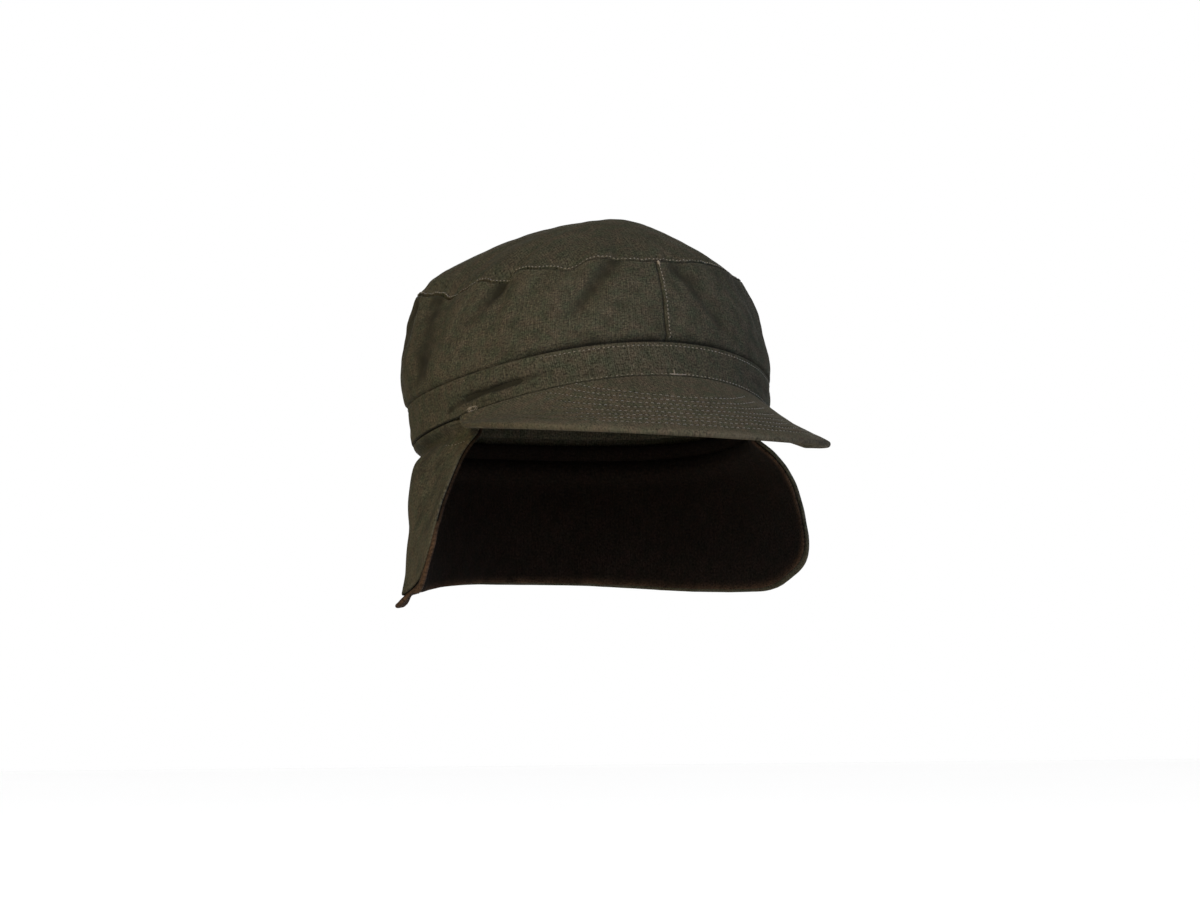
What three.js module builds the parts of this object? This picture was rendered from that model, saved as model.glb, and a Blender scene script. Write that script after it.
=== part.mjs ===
import * as THREE from "three";

// A field cap in its worn form, in millimetres. The front faces -Y, the wearer's left is +X and up is +Z.
// The origin is the middle of the head opening, at the level of the rim's middle.
// An angle round the cap is measured at the rim from the front, positive towards the wearer's left.

const { sin, cos, abs, min, max, exp, hypot, sign, pow, PI } = Math;
const rad = THREE.MathUtils.degToRad;
const deg = THREE.MathUtils.radToDeg;

// Named sizes
const CLOTH = 1.4;
const GAP = 0.3;
const RIM = { halfLength: 104, halfWidth: 85, pitch: 12.6, bow: 4.3 };
const BAND = { height: 17.5, thick: 1.8, halfLength: 100, halfWidth: 87, shift: 3, pitch: 1.2 };
const SEAM = {
  halfLength: 100,
  halfWidth: 75.5,
  frontWide: 0.035,
  backShort: 11,
  backFrom: -0.15,
  shift: 15,
  level: 70.6,
  pitch: 1.5,
  bow: 1.4,
  backDrop: 6,
  dropFrom: -0.5,
};
const CROWN = {
  bulgeBack: 6.2,
  bulgeFront: 3.0,
  bulgeFrom: -0.35,
  bulgeTo: 0.4,
  bulgeLow: 0.85,
  hugTo: 0.02,
  clearOfBand: 0.11,
  foldFoot: 0.14,
  foldHead: 0.86,
  headLoss: 0.65,
  apex: [3, -20, 100.3],
  domePower: 1.95,
  domeTurn: 0.35,
  gather: 0.5,
  gatherAt: 0.9,
  gatherWide: 0.22,
  sideHeight: 58,
  perDegree: 1.55,
  welt: 0.4,
  tuck: 8,
  lip: 5,
  lipCloth: 1.2,
};
const SHOULDER = { rise: 2.6, angle: -96, width: 26, at: 0.9, deep: 0.18, seamFrom: 0.93 };
const PEAK = {
  end: 69.5,
  thick: 3.2,
  centre: -72,
  reach: 95,
  halfWidth: 84.5,
  low: -15.5,
  sideRise: 6.2,
  lean: 2.6,
  tailFrom: 0.86,
  tailIn: 3.9,
  tailBack: 35,
  tailRise: 4.6,
  tailPower: 1.5,
  endThinner: 0.9,
  endFrom: 0.8,
  edgeRound: 0.75,
  sag: 4,
  sagFrom: 0.1,
  sagFull: 0.5,
  sagTo: 0.85,
  tongue: 6,
  tongueEnd: 60,
  tongueFull: 54,
};
const FLAP = {
  front: 67,
  low: -81,
  backLift: 7,
  backFrom: 100,
  backFull: 170,
  backOut: 3,
  backOutFrom: 110,
  cornerWidth: 27,
  tipAt: 90,
  tipWide: 9,
  tipOut: 0.8,
  tipOutAt: 88,
  tipOutFrom: 60,
  tipOutFull: 95,
  tuck: 6,
  pinch: 3.2,
  pinchAt: 6.6,
  pinchWide: 4.5,
  clear: 2,
  clearFull: 71,
  clearTo: 79,
  clearTop: -5,
  clearRim: -1,
  clearLow: 11,
  clearEnd: 22,
  hangFrom: 8,
  hangFull: 75,
  flareFrom: 5.6,
  flareFull: 64,
  flareReach: 128,
  sideFrom: 70,
  sideFull: 92,
  curlWide: 10,
  curlFrom: 8,
  curlFull: 60,
  lining: 1.2,
  liningInset: 0.9,
  liningShort: 1.6,
};

// Waves of the crown's top seam: where each one is, how wide in degrees, and how far it dips
const SEAM_WAVES = [
  { angle: -150, width: 12, dip: 2.0 },
  { angle: -118, width: 17, dip: 3.0 },
  { angle: -88, width: 13, dip: 6.0 },
  { angle: -78, width: 5, dip: 6.1 },
  { angle: -70, width: 6, dip: 5.8 },
  { angle: -57, width: 6.5, dip: 6.7 },
  { angle: -41, width: 7, dip: 2.9 },
  { angle: -31, width: 5, dip: 4.7 },
  { angle: -5, width: 9, dip: 1.8 },
  { angle: 9, width: 6, dip: 1.2 },
  { angle: 47, width: 9, dip: 1.9 },
  { angle: 76, width: 10, dip: 2.0 },
  { angle: 112, width: 12, dip: 2.2 },
  { angle: 143, width: 10, dip: 3.0 },
  { angle: 172, width: 9, dip: 2.2 },
];

// Corners of the crown's top seam, where it stands out: where each one is, how wide in degrees, and how far
const SEAM_CORNERS = [
  { angle: -100, width: 25, out: 2.6 },
  { angle: 62, width: 22, out: 1.5 },
];

// Folds of the crown's side: from one point to another, each an angle and a share of the height,
// with the fold's half width and its height, negative for a dent
const SIDE_FOLDS = [
  { fromAngle: -80, fromShare: 1.0, toAngle: -84, toShare: 0.1, width: 8, height: -2.8 },
  { fromAngle: -104, fromShare: 0.85, toAngle: -107, toShare: 0.3, width: 11.5, height: -3.9 },
  { fromAngle: -68, fromShare: 0.9, toAngle: -72, toShare: 0.3, width: 8, height: 1.2 },
  { fromAngle: -50, fromShare: 1.0, toAngle: -61, toShare: 0.42, width: 5, height: -2.4 },
  { fromAngle: -43, fromShare: 1.0, toAngle: -50, toShare: 0.55, width: 5, height: 1.4 },
  { fromAngle: -16, fromShare: 1.0, toAngle: -25, toShare: 0.28, width: 6, height: -2.0 },
  { fromAngle: -31, fromShare: 0.95, toAngle: -36, toShare: 0.5, width: 7, height: 1.4 },
  { fromAngle: 5, fromShare: 1.0, toAngle: 25, toShare: 0.12, width: 6, height: -1.9 },
  { fromAngle: 25, fromShare: 1.0, toAngle: 33, toShare: 0.76, width: 4, height: -1.4 },
  { fromAngle: -48, fromShare: 0.06, toAngle: -20, toShare: 0.1, width: 4, height: 1.6 },
  { fromAngle: 44, fromShare: 1.0, toAngle: 50, toShare: 0.5, width: 6, height: -1.2 },
  { fromAngle: 66, fromShare: 0.9, toAngle: 64, toShare: 0.5, width: 16, height: 1.8 },
  { fromAngle: 80, fromShare: 1.0, toAngle: 78, toShare: 0.25, width: 8, height: -2.2 },
  { fromAngle: 112, fromShare: 1.0, toAngle: 120, toShare: 0.35, width: 8, height: -2.0 },
  { fromAngle: 148, fromShare: 1.0, toAngle: 140, toShare: 0.3, width: 9, height: -2.2 },
  { fromAngle: -122, fromShare: 1.0, toAngle: -116, toShare: 0.35, width: 9, height: -2.0 },
  { fromAngle: -152, fromShare: 1.0, toAngle: -158, toShare: 0.3, width: 9, height: -2.0 },
];

// Creases along the band: from one point to another, each an angle and a height above the rim
const BAND_CREASES = [
  { fromAngle: -76, fromHeight: 4.6, toAngle: -30, toHeight: 7.2, width: 2.4, height: -0.9 },
  { fromAngle: -78, fromHeight: 9.6, toAngle: -34, toHeight: 11.6, width: 2.8, height: 0.6 },
  { fromAngle: 38, fromHeight: 8.0, toAngle: 70, toHeight: 6.5, width: 2.6, height: -0.6 },
  { fromAngle: 120, fromHeight: 9.0, toAngle: 158, toHeight: 7.0, width: 2.6, height: -0.5 },
  { fromAngle: -150, fromHeight: 8.5, toAngle: -112, toHeight: 7.5, width: 2.6, height: -0.5 },
];

// The flap's drape: each fold's angle, its half width in degrees and how far it stands out at the hem
const FLAP_FOLDS = [
  { angle: -172, width: 11, out: 2.6 },
  { angle: -150, width: 10, out: -2.6 },
  { angle: -126, width: 11, out: 1.8 },
  { angle: -104, width: 9, out: -2.0 },
  { angle: 106, width: 9, out: -1.4 },
  { angle: 130, width: 11, out: 2.2 },
  { angle: 153, width: 10, out: -2.4 },
  { angle: 172, width: 10, out: 1.6 },
];

// Each side of the flap: its flare, the drops over which the flare grows at the front edge and at the side,
// the height and roundness of its lower corner, how far the corner's tip hangs below the hem, how far the
// edge curls out and how much higher the hem is
const FLAP_SIDES = {
  right: { flare: 17.4, front: 52, side: 12, corner: 33, round: 2.4, tip: 5.4, curl: 8.6, lift: 0 },
  left: { flare: 21.5, front: 22.5, side: 31, corner: 28.5, round: 1.8, tip: 0, curl: 5.2, lift: 2 },
};

// Small helpers
function smooth(a, b, x) {
  const t = min(1, max(0, (x - a) / (b - a)));
  return t * t * (3 - 2 * t);
}

function bump(x) {
  return exp(-x * x);
}

function add(p, q, k = 1) {
  return [p[0] + q[0] * k, p[1] + q[1] * k, p[2] + q[2] * k];
}

function mix(p, q, t) {
  return [0, 1, 2].map((i) => p[i] * (1 - t) + q[i] * t);
}

function unit(v) {
  const l = hypot(v[0], v[1], v[2]);
  return v.map((x) => x / l);
}

function cross(u, v) {
  return [u[1] * v[2] - u[2] * v[1], u[2] * v[0] - u[0] * v[2], u[0] * v[1] - u[1] * v[0]];
}

function steps(from, to, count) {
  return Array.from({ length: count + 1 }, (_, i) => from + ((to - from) * i) / count);
}

// Degrees from one angle to another by the short way round
function turn(a, b) {
  return ((((a - b + 180) % 360) + 360) % 360) - 180;
}

// Height of a straight fold at a point, in a plane where both coordinates are millimetres
function foldAt(u, v, u0, v0, u1, v1, width, height) {
  const du = u1 - u0;
  const dv = v1 - v0;
  const s = ((u - u0) * du + (v - v0) * dv) / (du * du + dv * dv);
  const t = min(1, max(0, s));
  const d = hypot(u - u0 - du * t, v - v0 - dv * t);
  return height * bump(d / width) * (1 - 0.5 * t);
}

// The unit normal of a surface f(a, b), on the side that agrees with a given direction
function normalOf(f, a, b, da, db, towards) {
  const u = add(f(a + da, b), f(a - da, b), -1);
  const v = add(f(a, b + db), f(a, b - db), -1);
  const n = unit(cross(u, v));
  const d = n[0] * towards[0] + n[1] * towards[1] + n[2] * towards[2];
  return d < 0 ? n.map((x) => -x) : n;
}

// The rim and the band
function rimLevel(p) {
  return RIM.pitch * cos(p) + RIM.bow * cos(2 * p);
}

function outward(p) {
  return unit([sin(p) / RIM.halfWidth, -cos(p) / RIM.halfLength, 0]);
}

function bandPoint(p, h, out) {
  const t = h / BAND.height;
  const low = [RIM.halfWidth * sin(p), -RIM.halfLength * cos(p), rimLevel(p)];
  const high = [
    BAND.halfWidth * sin(p),
    BAND.shift - BAND.halfLength * cos(p),
    rimLevel(p) + BAND.height - BAND.pitch * cos(p),
  ];
  return add(mix(low, high, t), outward(p), out);
}

function bandCrease(a, h) {
  const mm = 1.6;
  return BAND_CREASES.reduce(
    (z, f) =>
      z +
      foldAt(
        turn(a, f.fromAngle) * mm,
        h,
        0,
        f.fromHeight,
        turn(f.toAngle, f.fromAngle) * mm,
        f.toHeight,
        f.width,
        f.height,
      ),
    0,
  );
}

// The crown's top seam, its side wall and its domed top
function seamDip(a) {
  return SEAM_WAVES.reduce((z, w) => z + w.dip * bump(turn(a, w.angle) / w.width), 0);
}

function seamRing(p) {
  const c = cos(p);
  const length = SEAM.halfLength - SEAM.backShort * smooth(SEAM.backFrom, -1, c);
  const ring = [
    SEAM.halfWidth * sin(p) * (1 - SEAM.frontWide * c),
    SEAM.shift - length * c,
    SEAM.level + SEAM.pitch * c + SEAM.bow * cos(2 * p) - SEAM.backDrop * smooth(SEAM.dropFrom, -1, c),
  ];
  const corner = SEAM_CORNERS.reduce((z, f) => z + f.out * bump(turn(deg(p), f.angle) / f.width), 0);
  return add(ring, outward(p), corner);
}

function sideFold(a, v) {
  const round = CROWN.perDegree;
  const high = CROWN.sideHeight;
  return SIDE_FOLDS.reduce(
    (z, f) =>
      z +
      foldAt(
        turn(a, f.fromAngle) * round,
        v * high,
        0,
        f.fromShare * high,
        turn(f.toAngle, f.fromAngle) * round,
        f.toShare * high,
        f.width,
        f.height,
      ),
    0,
  );
}

function sidePoint(p, v) {
  const a = deg(p);
  const c = cos(p);
  const top = add(seamRing(p), [0, 0, -seamDip(a)]);
  const w = pow(max(v, 0), CROWN.bulgeLow);
  const front = smooth(CROWN.bulgeFrom, CROWN.bulgeTo, c);
  const swell = CROWN.bulgeBack + (CROWN.bulgeFront - CROWN.bulgeBack) * front;
  const hug = -(BAND.thick + GAP) * (1 - smooth(CROWN.hugTo, CROWN.clearOfBand, v));
  const head = CROWN.headLoss * smooth(CROWN.foldHead, 1, v);
  const folds = sideFold(a, v) * smooth(CROWN.hugTo, CROWN.foldFoot, v) * (1 - head);
  const out = swell * (1 - (2 * w - 1) * (2 * w - 1)) + hug + folds;
  return add(mix(bandPoint(p, BAND.height, 0), top, v), outward(p), out);
}

function topPoint(p, r) {
  const b = seamRing(p);
  const e = CROWN.domePower - CROWN.domeTurn * cos(p);
  const flat = mix(CROWN.apex, b, r);
  const a = deg(p);
  const near = bump((r - CROWN.gatherAt) / CROWN.gatherWide);
  const gather = CROWN.gather * sideFold(a, CROWN.gatherAt) * near;
  const round = bump(turn(a, SHOULDER.angle) / SHOULDER.width) * bump((r - SHOULDER.at) / SHOULDER.deep);
  const full = SHOULDER.rise * round * smooth(1, SHOULDER.seamFrom, r);
  const dome = b[2] + (CROWN.apex[2] - b[2]) * (1 - pow(r, e));
  return [flat[0], flat[1], dome + full - seamDip(a) * pow(r, 4) + gather * (1 - r)];
}

// The peak, as a sheet ruled from the rim to its outer edge
function peakEdge(q) {
  const side = sign(q) || 1;
  const s = abs(q);
  const w = (min(1, s / PEAK.tailFrom) * PI) / 2;
  const tail = max(0, (s - PEAK.tailFrom) / (1 - PEAK.tailFrom));
  const x = PEAK.halfWidth * sin(w) - PEAK.tailIn * pow(tail, PEAK.tailPower);
  const y = PEAK.centre - PEAK.reach * cos(w) + PEAK.tailBack * tail;
  const lean = PEAK.lean * side * sin(w) * (1 - tail);
  const z = PEAK.low + PEAK.sideRise * (1 - cos(w)) - lean + PEAK.tailRise * tail;
  return [side * x, y, z];
}

function peakPoint(q, t) {
  const p = rad(PEAK.end) * q;
  const line = mix(bandPoint(p, -GAP, 0), peakEdge(q), t);
  const part = smooth(PEAK.sagFrom, PEAK.sagFull, abs(q)) * (1 - smooth(PEAK.sagTo, 1, abs(q)));
  return [line[0], line[1], line[2] - PEAK.sag * t * (1 - t) * part];
}

// The flap: a curtain from temple to temple round the back, h millimetres below the rim
function flapSide(a) {
  return a < 0 ? FLAP_SIDES.right : FLAP_SIDES.left;
}

function flapHang(a) {
  const s = abs(a);
  const side = flapSide(a);
  const tip = side.tip * bump((s - FLAP.tipAt) / FLAP.tipWide);
  const back = smooth(FLAP.backFrom, FLAP.backFull, s);
  return rimLevel(rad(a)) + tip - FLAP.low - side.lift * (1 - back) - FLAP.backLift * back;
}

function flapLength(a) {
  const side = flapSide(a);
  const t = min(1, max(0, (FLAP.front - abs(a)) / FLAP.cornerWidth + 1));
  return flapHang(a) - side.corner * (1 - pow(1 - pow(t, side.round), 1 / side.round));
}

function flapPoint(a, h) {
  const s = abs(a);
  const p = rad(a);
  const side = flapSide(a);
  const pinch = -FLAP.pinch * bump((h - FLAP.pinchAt) / FLAP.pinchWide);
  const drawn = smooth(FLAP.clearTop, FLAP.clearRim, h) * (1 - smooth(FLAP.clearLow, FLAP.clearEnd, h));
  const clear = -FLAP.clear * smooth(FLAP.clearTo, FLAP.clearFull, s) * drawn;
  const hang = smooth(FLAP.hangFrom, FLAP.hangFull, h);
  const back = FLAP.backOut * smooth(FLAP.backOutFrom, 180, s) * hang;
  const folds = FLAP_FOLDS.reduce((z, f) => z + f.out * bump(turn(a, f.angle) / f.width), 0) * hang;
  const curl = side.curl * bump((s - FLAP.front) / FLAP.curlWide) * smooth(FLAP.curlFrom, FLAP.curlFull, h);
  const grow = side.front + (side.side - side.front) * smooth(FLAP.sideFrom, FLAP.sideFull, s);
  const drop = max(h - FLAP.flareFrom, 0);
  const flare = side.flare * smooth(FLAP.flareReach, FLAP.flareFull, s) * (1 - exp(-drop / grow));
  const point = bump((s - FLAP.tipOutAt) / FLAP.tipWide) * smooth(FLAP.tipOutFrom, FLAP.tipOutFull, h);
  const tip = FLAP.tipOut * side.tip * point;
  const out = pinch + clear + back + folds + curl + tip - (BAND.thick + GAP);
  const rim = add(bandPoint(p, h < 0 ? -h : 0, 0), outward(p), out);
  return [rim[0] + sign(a || 1) * flare, rim[1], rim[2] - max(h, 0)];
}

// Builds one closed body from cross-sections. Each section is a list of pairs of points, one on the outer
// face and one on the inner face. A ring of sections closes on itself, a strip is closed by its two ends.
function solid(sections, ring) {
  const keys = new Map();
  const points = [];
  const faces = [];
  const id = (p) => {
    const key = p.map((x) => x.toFixed(4)).join(",");
    if (!keys.has(key)) {
      keys.set(key, points.length);
      points.push(p);
    }
    return keys.get(key);
  };
  const face = (a, b, c) => {
    const [i, j, k] = [id(a), id(b), id(c)];
    if (i !== j && j !== k && k !== i) faces.push(i, j, k);
  };
  const quad = (a, b, c, d) => {
    face(a, b, c);
    face(a, c, d);
  };
  const count = sections.length;
  const last = ring ? count : count - 1;
  for (let j = 0; j < last; j++) {
    const s = sections[j];
    const t = sections[(j + 1) % count];
    const n = s.length - 1;
    for (let i = 0; i < n; i++) {
      quad(s[i][0], t[i][0], t[i + 1][0], s[i + 1][0]);
      quad(s[i][1], s[i + 1][1], t[i + 1][1], t[i][1]);
    }
    quad(s[0][0], s[0][1], t[0][1], t[0][0]);
    quad(s[n][0], t[n][0], t[n][1], s[n][1]);
  }
  if (!ring) {
    const s = sections[0];
    const t = sections[count - 1];
    for (let i = 0; i < s.length - 1; i++) {
      quad(s[i][0], s[i + 1][0], s[i + 1][1], s[i][1]);
      quad(t[i][0], t[i][1], t[i + 1][1], t[i + 1][0]);
    }
  }
  const geometry = new THREE.BufferGeometry();
  geometry.setAttribute("position", new THREE.Float32BufferAttribute(points.flat(), 3));
  geometry.setIndex(faces);
  geometry.computeVertexNormals();
  return geometry;
}

const group = new THREE.Group();

function piece(name, geometry, color) {
  const material = new THREE.MeshStandardMaterial({ color, roughness: 0.9, metalness: 0 });
  const mesh = new THREE.Mesh(geometry, material);
  mesh.name = name;
  group.add(mesh);
}

function offset(f, a, b, da, db, towards, depth) {
  return add(f(a, b), normalOf(f, a, b, da, db, towards), -depth);
}

// The band, a closed ring of doubled cloth with its inner face plain
function bandSection(a) {
  const p = rad(a);
  const heights = [0, 1.2, 4.5, 7, 10, 13, 16.4, BAND.height];
  return heights.map((h) => {
    const soft = h === 0 || h === BAND.height ? 0.5 : 0;
    return [bandPoint(p, h, bandCrease(a, h) - soft), bandPoint(p, h, -BAND.thick)];
  });
}

piece("band", solid(steps(0, 354, 59).map(bandSection), true), 0x3f3b2e);

// The crown's two side walls, tucked inside the band and cut apart at the front and back seams
const SHARES = [0, 0.05, 0.12, 0.2, 0.3, 0.41, 0.52, 0.63, 0.74, 0.84, 0.93, 1];

function sideSection(a) {
  const p = rad(a);
  const inside = BAND.thick + GAP;
  const tuck = [
    bandPoint(p, BAND.height - CROWN.tuck, -inside),
    bandPoint(p, BAND.height - CROWN.tuck, -inside - CLOTH),
  ];
  const wall = SHARES.map((v) => [
    sidePoint(p, v),
    v === 0
      ? bandPoint(p, BAND.height, -inside - CLOTH)
      : offset(sidePoint, p, v, 0.01, 0.01, outward(p), CLOTH),
  ]);
  return [tuck, ...wall];
}

const HALF_GAP = 0.12;
const round = steps(HALF_GAP, 180 - HALF_GAP, 30);
piece("crown_side_left", solid(round.map(sideSection), false), 0x413d30);
piece("crown_side_right", solid(round.map((a) => a - 180).map(sideSection), false), 0x3d392c);

// The domed top, whose seam allowance turns down inside the side walls
const RINGS = [0, 0.2, 0.4, 0.58, 0.75, 0.9, 1];

function topSection(a) {
  const p = rad(a);
  const out = outward(p);
  const n = normalOf(sidePoint, p, 1, 0.01, 0.01, out);
  const seam = sidePoint(p, 1);
  const up = unit(add(seam, sidePoint(p, 0.97), -1));
  const high = add(add(seam, up, GAP + CLOTH), n, CROWN.welt);
  const ledge = add(add(seam, up, GAP), n, CROWN.welt);
  const surface = (b, r) => {
    const lift = add(high, topPoint(rad(a), 1), -1);
    return add(topPoint(b, r), lift, pow(r, 6));
  };
  const apex = [...CROWN.apex.slice(0, 2), CROWN.apex[2] - CLOTH];
  const dome = RINGS.map((r) => [
    surface(p, r),
    r === 0 ? apex : offset(surface, p, r, 0.01, 0.01, [0, 0, 1], CLOTH),
  ]);
  const root = add(add(seam, up, GAP), n, -CLOTH - GAP - CLOTH);
  dome[dome.length - 1][1] = root;
  const low = 1 - CROWN.lip / CROWN.sideHeight;
  const side = normalOf(sidePoint, p, low, 0.01, 0.01, out);
  const foot = sidePoint(p, low);
  return [
    ...dome,
    [ledge, root],
    [add(add(seam, up, GAP), n, -CLOTH - GAP), root],
    [add(foot, side, -CLOTH - GAP), add(foot, side, -CLOTH - GAP - CROWN.lipCloth)],
  ];
}

piece("crown_top", solid(steps(0, 354, 59).map((a) => topSection(a).reverse()), true), 0x444033);

// The stiffened peak, with a tongue turned up inside the band
const RULES = [0, 0.1, 0.25, 0.42, 0.6, 0.78, 0.92, 1];

function peakSection(q) {
  const p = rad(PEAK.end) * q;
  const inside = BAND.thick + GAP;
  const tongue = PEAK.tongue * smooth(PEAK.tongueEnd, PEAK.tongueFull, abs(deg(p)));
  const thick = PEAK.thick - PEAK.endThinner * smooth(PEAK.endFrom, 1, abs(q));
  const way = add(outward(p), [0, 0, 1]);
  const rows = RULES.map((t) => {
    const n = normalOf(peakPoint, q * 0.998, min(0.97, max(0.03, t)), 0.002, 0.02, way);
    const centre = peakPoint(q, t);
    const round = t === 1 ? PEAK.edgeRound : 0;
    const rise = 0.5 * thick * smooth(0.5, 0.95, t) - round;
    return [add(centre, n, rise), add(centre, n, rise - thick + 2 * round)];
  });
  const root = rows[0][1];
  return [
    [bandPoint(p, tongue - GAP, -inside), bandPoint(p, tongue - GAP, -inside - CLOTH)],
    [bandPoint(p, -GAP, -inside), bandPoint(p, -GAP - 0.8, -inside - CLOTH)],
    [rows[0][0], root],
    ...rows.slice(1),
  ];
}

piece("peak", solid(steps(-1, 1, 40).map((q) => peakSection(q).reverse()), false), 0x403c2f);

// The flap's outer cloth and its lining, both tucked up inside the band
const DROPS = [0.02, 0.07, 0.115, 0.17, 0.27, 0.39, 0.53, 0.68, 0.84, 1];

function flapRow(a, h, near, far) {
  const away = outward(rad(a));
  const n = normalOf(flapPoint, a, max(h, 0.5), 0.4, 0.4, away);
  const dir = h <= 0 ? away : n;
  const p = flapPoint(a, h);
  return [add(p, dir, -near), add(p, dir, -far)];
}

// The two layers share their rows, cut off at each layer's own length
function flapRows(a, length) {
  return [-FLAP.tuck, ...DROPS.map((t) => min(t * flapHang(a), length))];
}

function flapSection(a) {
  return flapRows(a, flapLength(a)).map((h) => flapRow(a, h, 0, CLOTH));
}

function liningSection(a) {
  const near = CLOTH + GAP;
  const rows = flapRows(a, flapLength(a) - FLAP.liningShort);
  return rows.map((h) => flapRow(a, h, near, near + FLAP.lining));
}

// Angles along the flap, closer together near its front edges. Its two layers share all but the first one.
function curtain(start) {
  const half = [68.5, 70.2, 73, 76.8, 81.5, 87, 93, 99, 106, 114, 122, 130, 138, 146, 155, 163, 172, 180];
  const left = [start, ...half];
  return [...left, ...left.slice(0, -1).reverse().map((a) => -a)];
}

piece("flap", solid(curtain(FLAP.front).map((a) => flapSection(a).reverse()), false), 0x3a372b);
const liningAngles = curtain(FLAP.front + FLAP.liningInset);
piece("flap_lining", solid(liningAngles.map((a) => liningSection(a).reverse()), false), 0x35281f);

export default group;
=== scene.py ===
"""A field cap with a stitched peak and a lined ear and neck flap, dressed in cloth over its CAD frame."""

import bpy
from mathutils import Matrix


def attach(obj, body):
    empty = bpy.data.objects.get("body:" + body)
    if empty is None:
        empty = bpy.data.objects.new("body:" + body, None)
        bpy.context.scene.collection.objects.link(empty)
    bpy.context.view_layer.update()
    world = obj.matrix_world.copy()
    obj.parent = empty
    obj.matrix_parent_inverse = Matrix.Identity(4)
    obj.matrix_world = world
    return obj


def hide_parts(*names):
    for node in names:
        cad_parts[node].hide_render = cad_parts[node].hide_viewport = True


bl_info = {
    "name": "Field Cap",
    "version": (1, 0, 0),
    "blender": (4, 5, 0),
    "location": "View3D > Sidebar > Field Cap",
    "description": "Builds a soft field cap with a stitched peak and a lined ear and neck flap",
    "category": "Add Mesh",
}

import bpy
import numpy as np
from mathutils import Matrix, Vector
from mathutils.kdtree import KDTree

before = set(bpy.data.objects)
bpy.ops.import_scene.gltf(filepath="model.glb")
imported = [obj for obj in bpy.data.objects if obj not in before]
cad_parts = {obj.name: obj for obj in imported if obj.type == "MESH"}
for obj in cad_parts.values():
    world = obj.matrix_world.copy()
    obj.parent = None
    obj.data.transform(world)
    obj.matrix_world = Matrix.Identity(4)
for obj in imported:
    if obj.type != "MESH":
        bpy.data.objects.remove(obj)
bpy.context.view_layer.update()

UP = np.array([0, 0, 1.0])
FULL_TURN = 6.283
MM = 0.001

# Shapes are worked out in millimetres, and angles in degrees from the front, positive to the wearer's left.
CLOTH, GAP = 1.4, 0.3
RIM_LENGTH, RIM_WIDTH, RIM_PITCH, RIM_BOW = 104.0, 85.0, 12.6, 4.3
BAND_HEIGHT, BAND_THICK = 17.5, 1.8
BAND_LENGTH, BAND_WIDTH, BAND_SHIFT, BAND_PITCH = 100.0, 87.0, 3.0, 1.2
BAND_ROW, RIM_ROW = 1.9, 0.9
SEAM_ROW, TACK_AT = 1.15, 64.4
SEAM_LENGTH, SEAM_WIDTH, SEAM_LEVEL, SEAM_SHIFT = 100.0, 75.5, 70.6, 15.0
APEX = np.array([3.0, -20.0, 100.3])
SHOULDER, TOP_REACH = 2.6, 85.0
WALL_HEIGHT = 58.0
WALL_TUCK, TOP_LIP, LIP_CLOTH, WELT = 8.0, 5.0, 1.2, -0.45
PEAK_END, PEAK_THICK, PEAK_TAIL, PEAK_TURN = 69.5, 3.2, 0.86, 0.92
PEAK_HALF, PEAK_ROOT, PEAK_REACH, PEAK_LOW, PEAK_CURVE = 84.5, 72.0, 95.0, 15.5, 2.3
FLAP_FRONT, FLAP_LOW, FLAP_TUCK, CORNER_WIDTH = 67.0, -81.0, 6.0, 27.0
FLAP_PINCH, PINCH_AT, PINCH_WIDE = 3.2, 6.6, 4.5
FLARE_FROM, FLARE_REACH, CURL_WIDE = 5.6, 128.0, 10.0
SHELL_TIP = 0.35
LINING_THICK = 1.2
EDGE_ROLL = 0.45

# Millimetres to a degree along the rim, the band, the crown's wall and the flap
RIM_ROUND, BAND_ROUND, WALL_ROUND, FLAP_ROUND = 1.6, 1.62, 1.55, 1.75

# Steps in angle and share of the height over which the wall's slope is taken
WALL_STEP = (0.2, 0.004)

# Scale at which a wave texture's bands lie a unit apart
WAVE = 0.31416

# Waves of the crown's top seam: angle, half width in degrees, dip
SEAM_WAVES = [
    (-150, 12, 2.0),
    (-118, 17, 3.0),
    (-88, 13, 6.0),
    (-78, 5, 6.1),
    (-70, 6, 5.8),
    (-57, 6.5, 6.7),
    (-53.4, 1.9, 2.2),
    (-41, 7, 2.9),
    (-31, 5, 4.7),
    (-14, 2.2, 1.0),
    (-5, 9, 1.8),
    (9, 6, 1.2),
    (47, 9, 1.9),
    (76, 10, 2.0),
    (112, 12, 2.2),
    (143, 10, 3.0),
    (172, 9, 2.2),
]

# Places where the top seam's stitches sink out of sight: angle, half width in degrees
SEAM_HIDES = [(-94, 6), (-72, 5), (-61, 3), (-52, 2), (-27, 2.2), (-12, 3), (3, 2), (18, 3), (50, 12)]

# Corners of the crown's top seam: angle, half width in degrees, how far it stands out
SEAM_CORNERS = [(-100, 25, 2.6), (62, 22, 1.5)]

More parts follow.
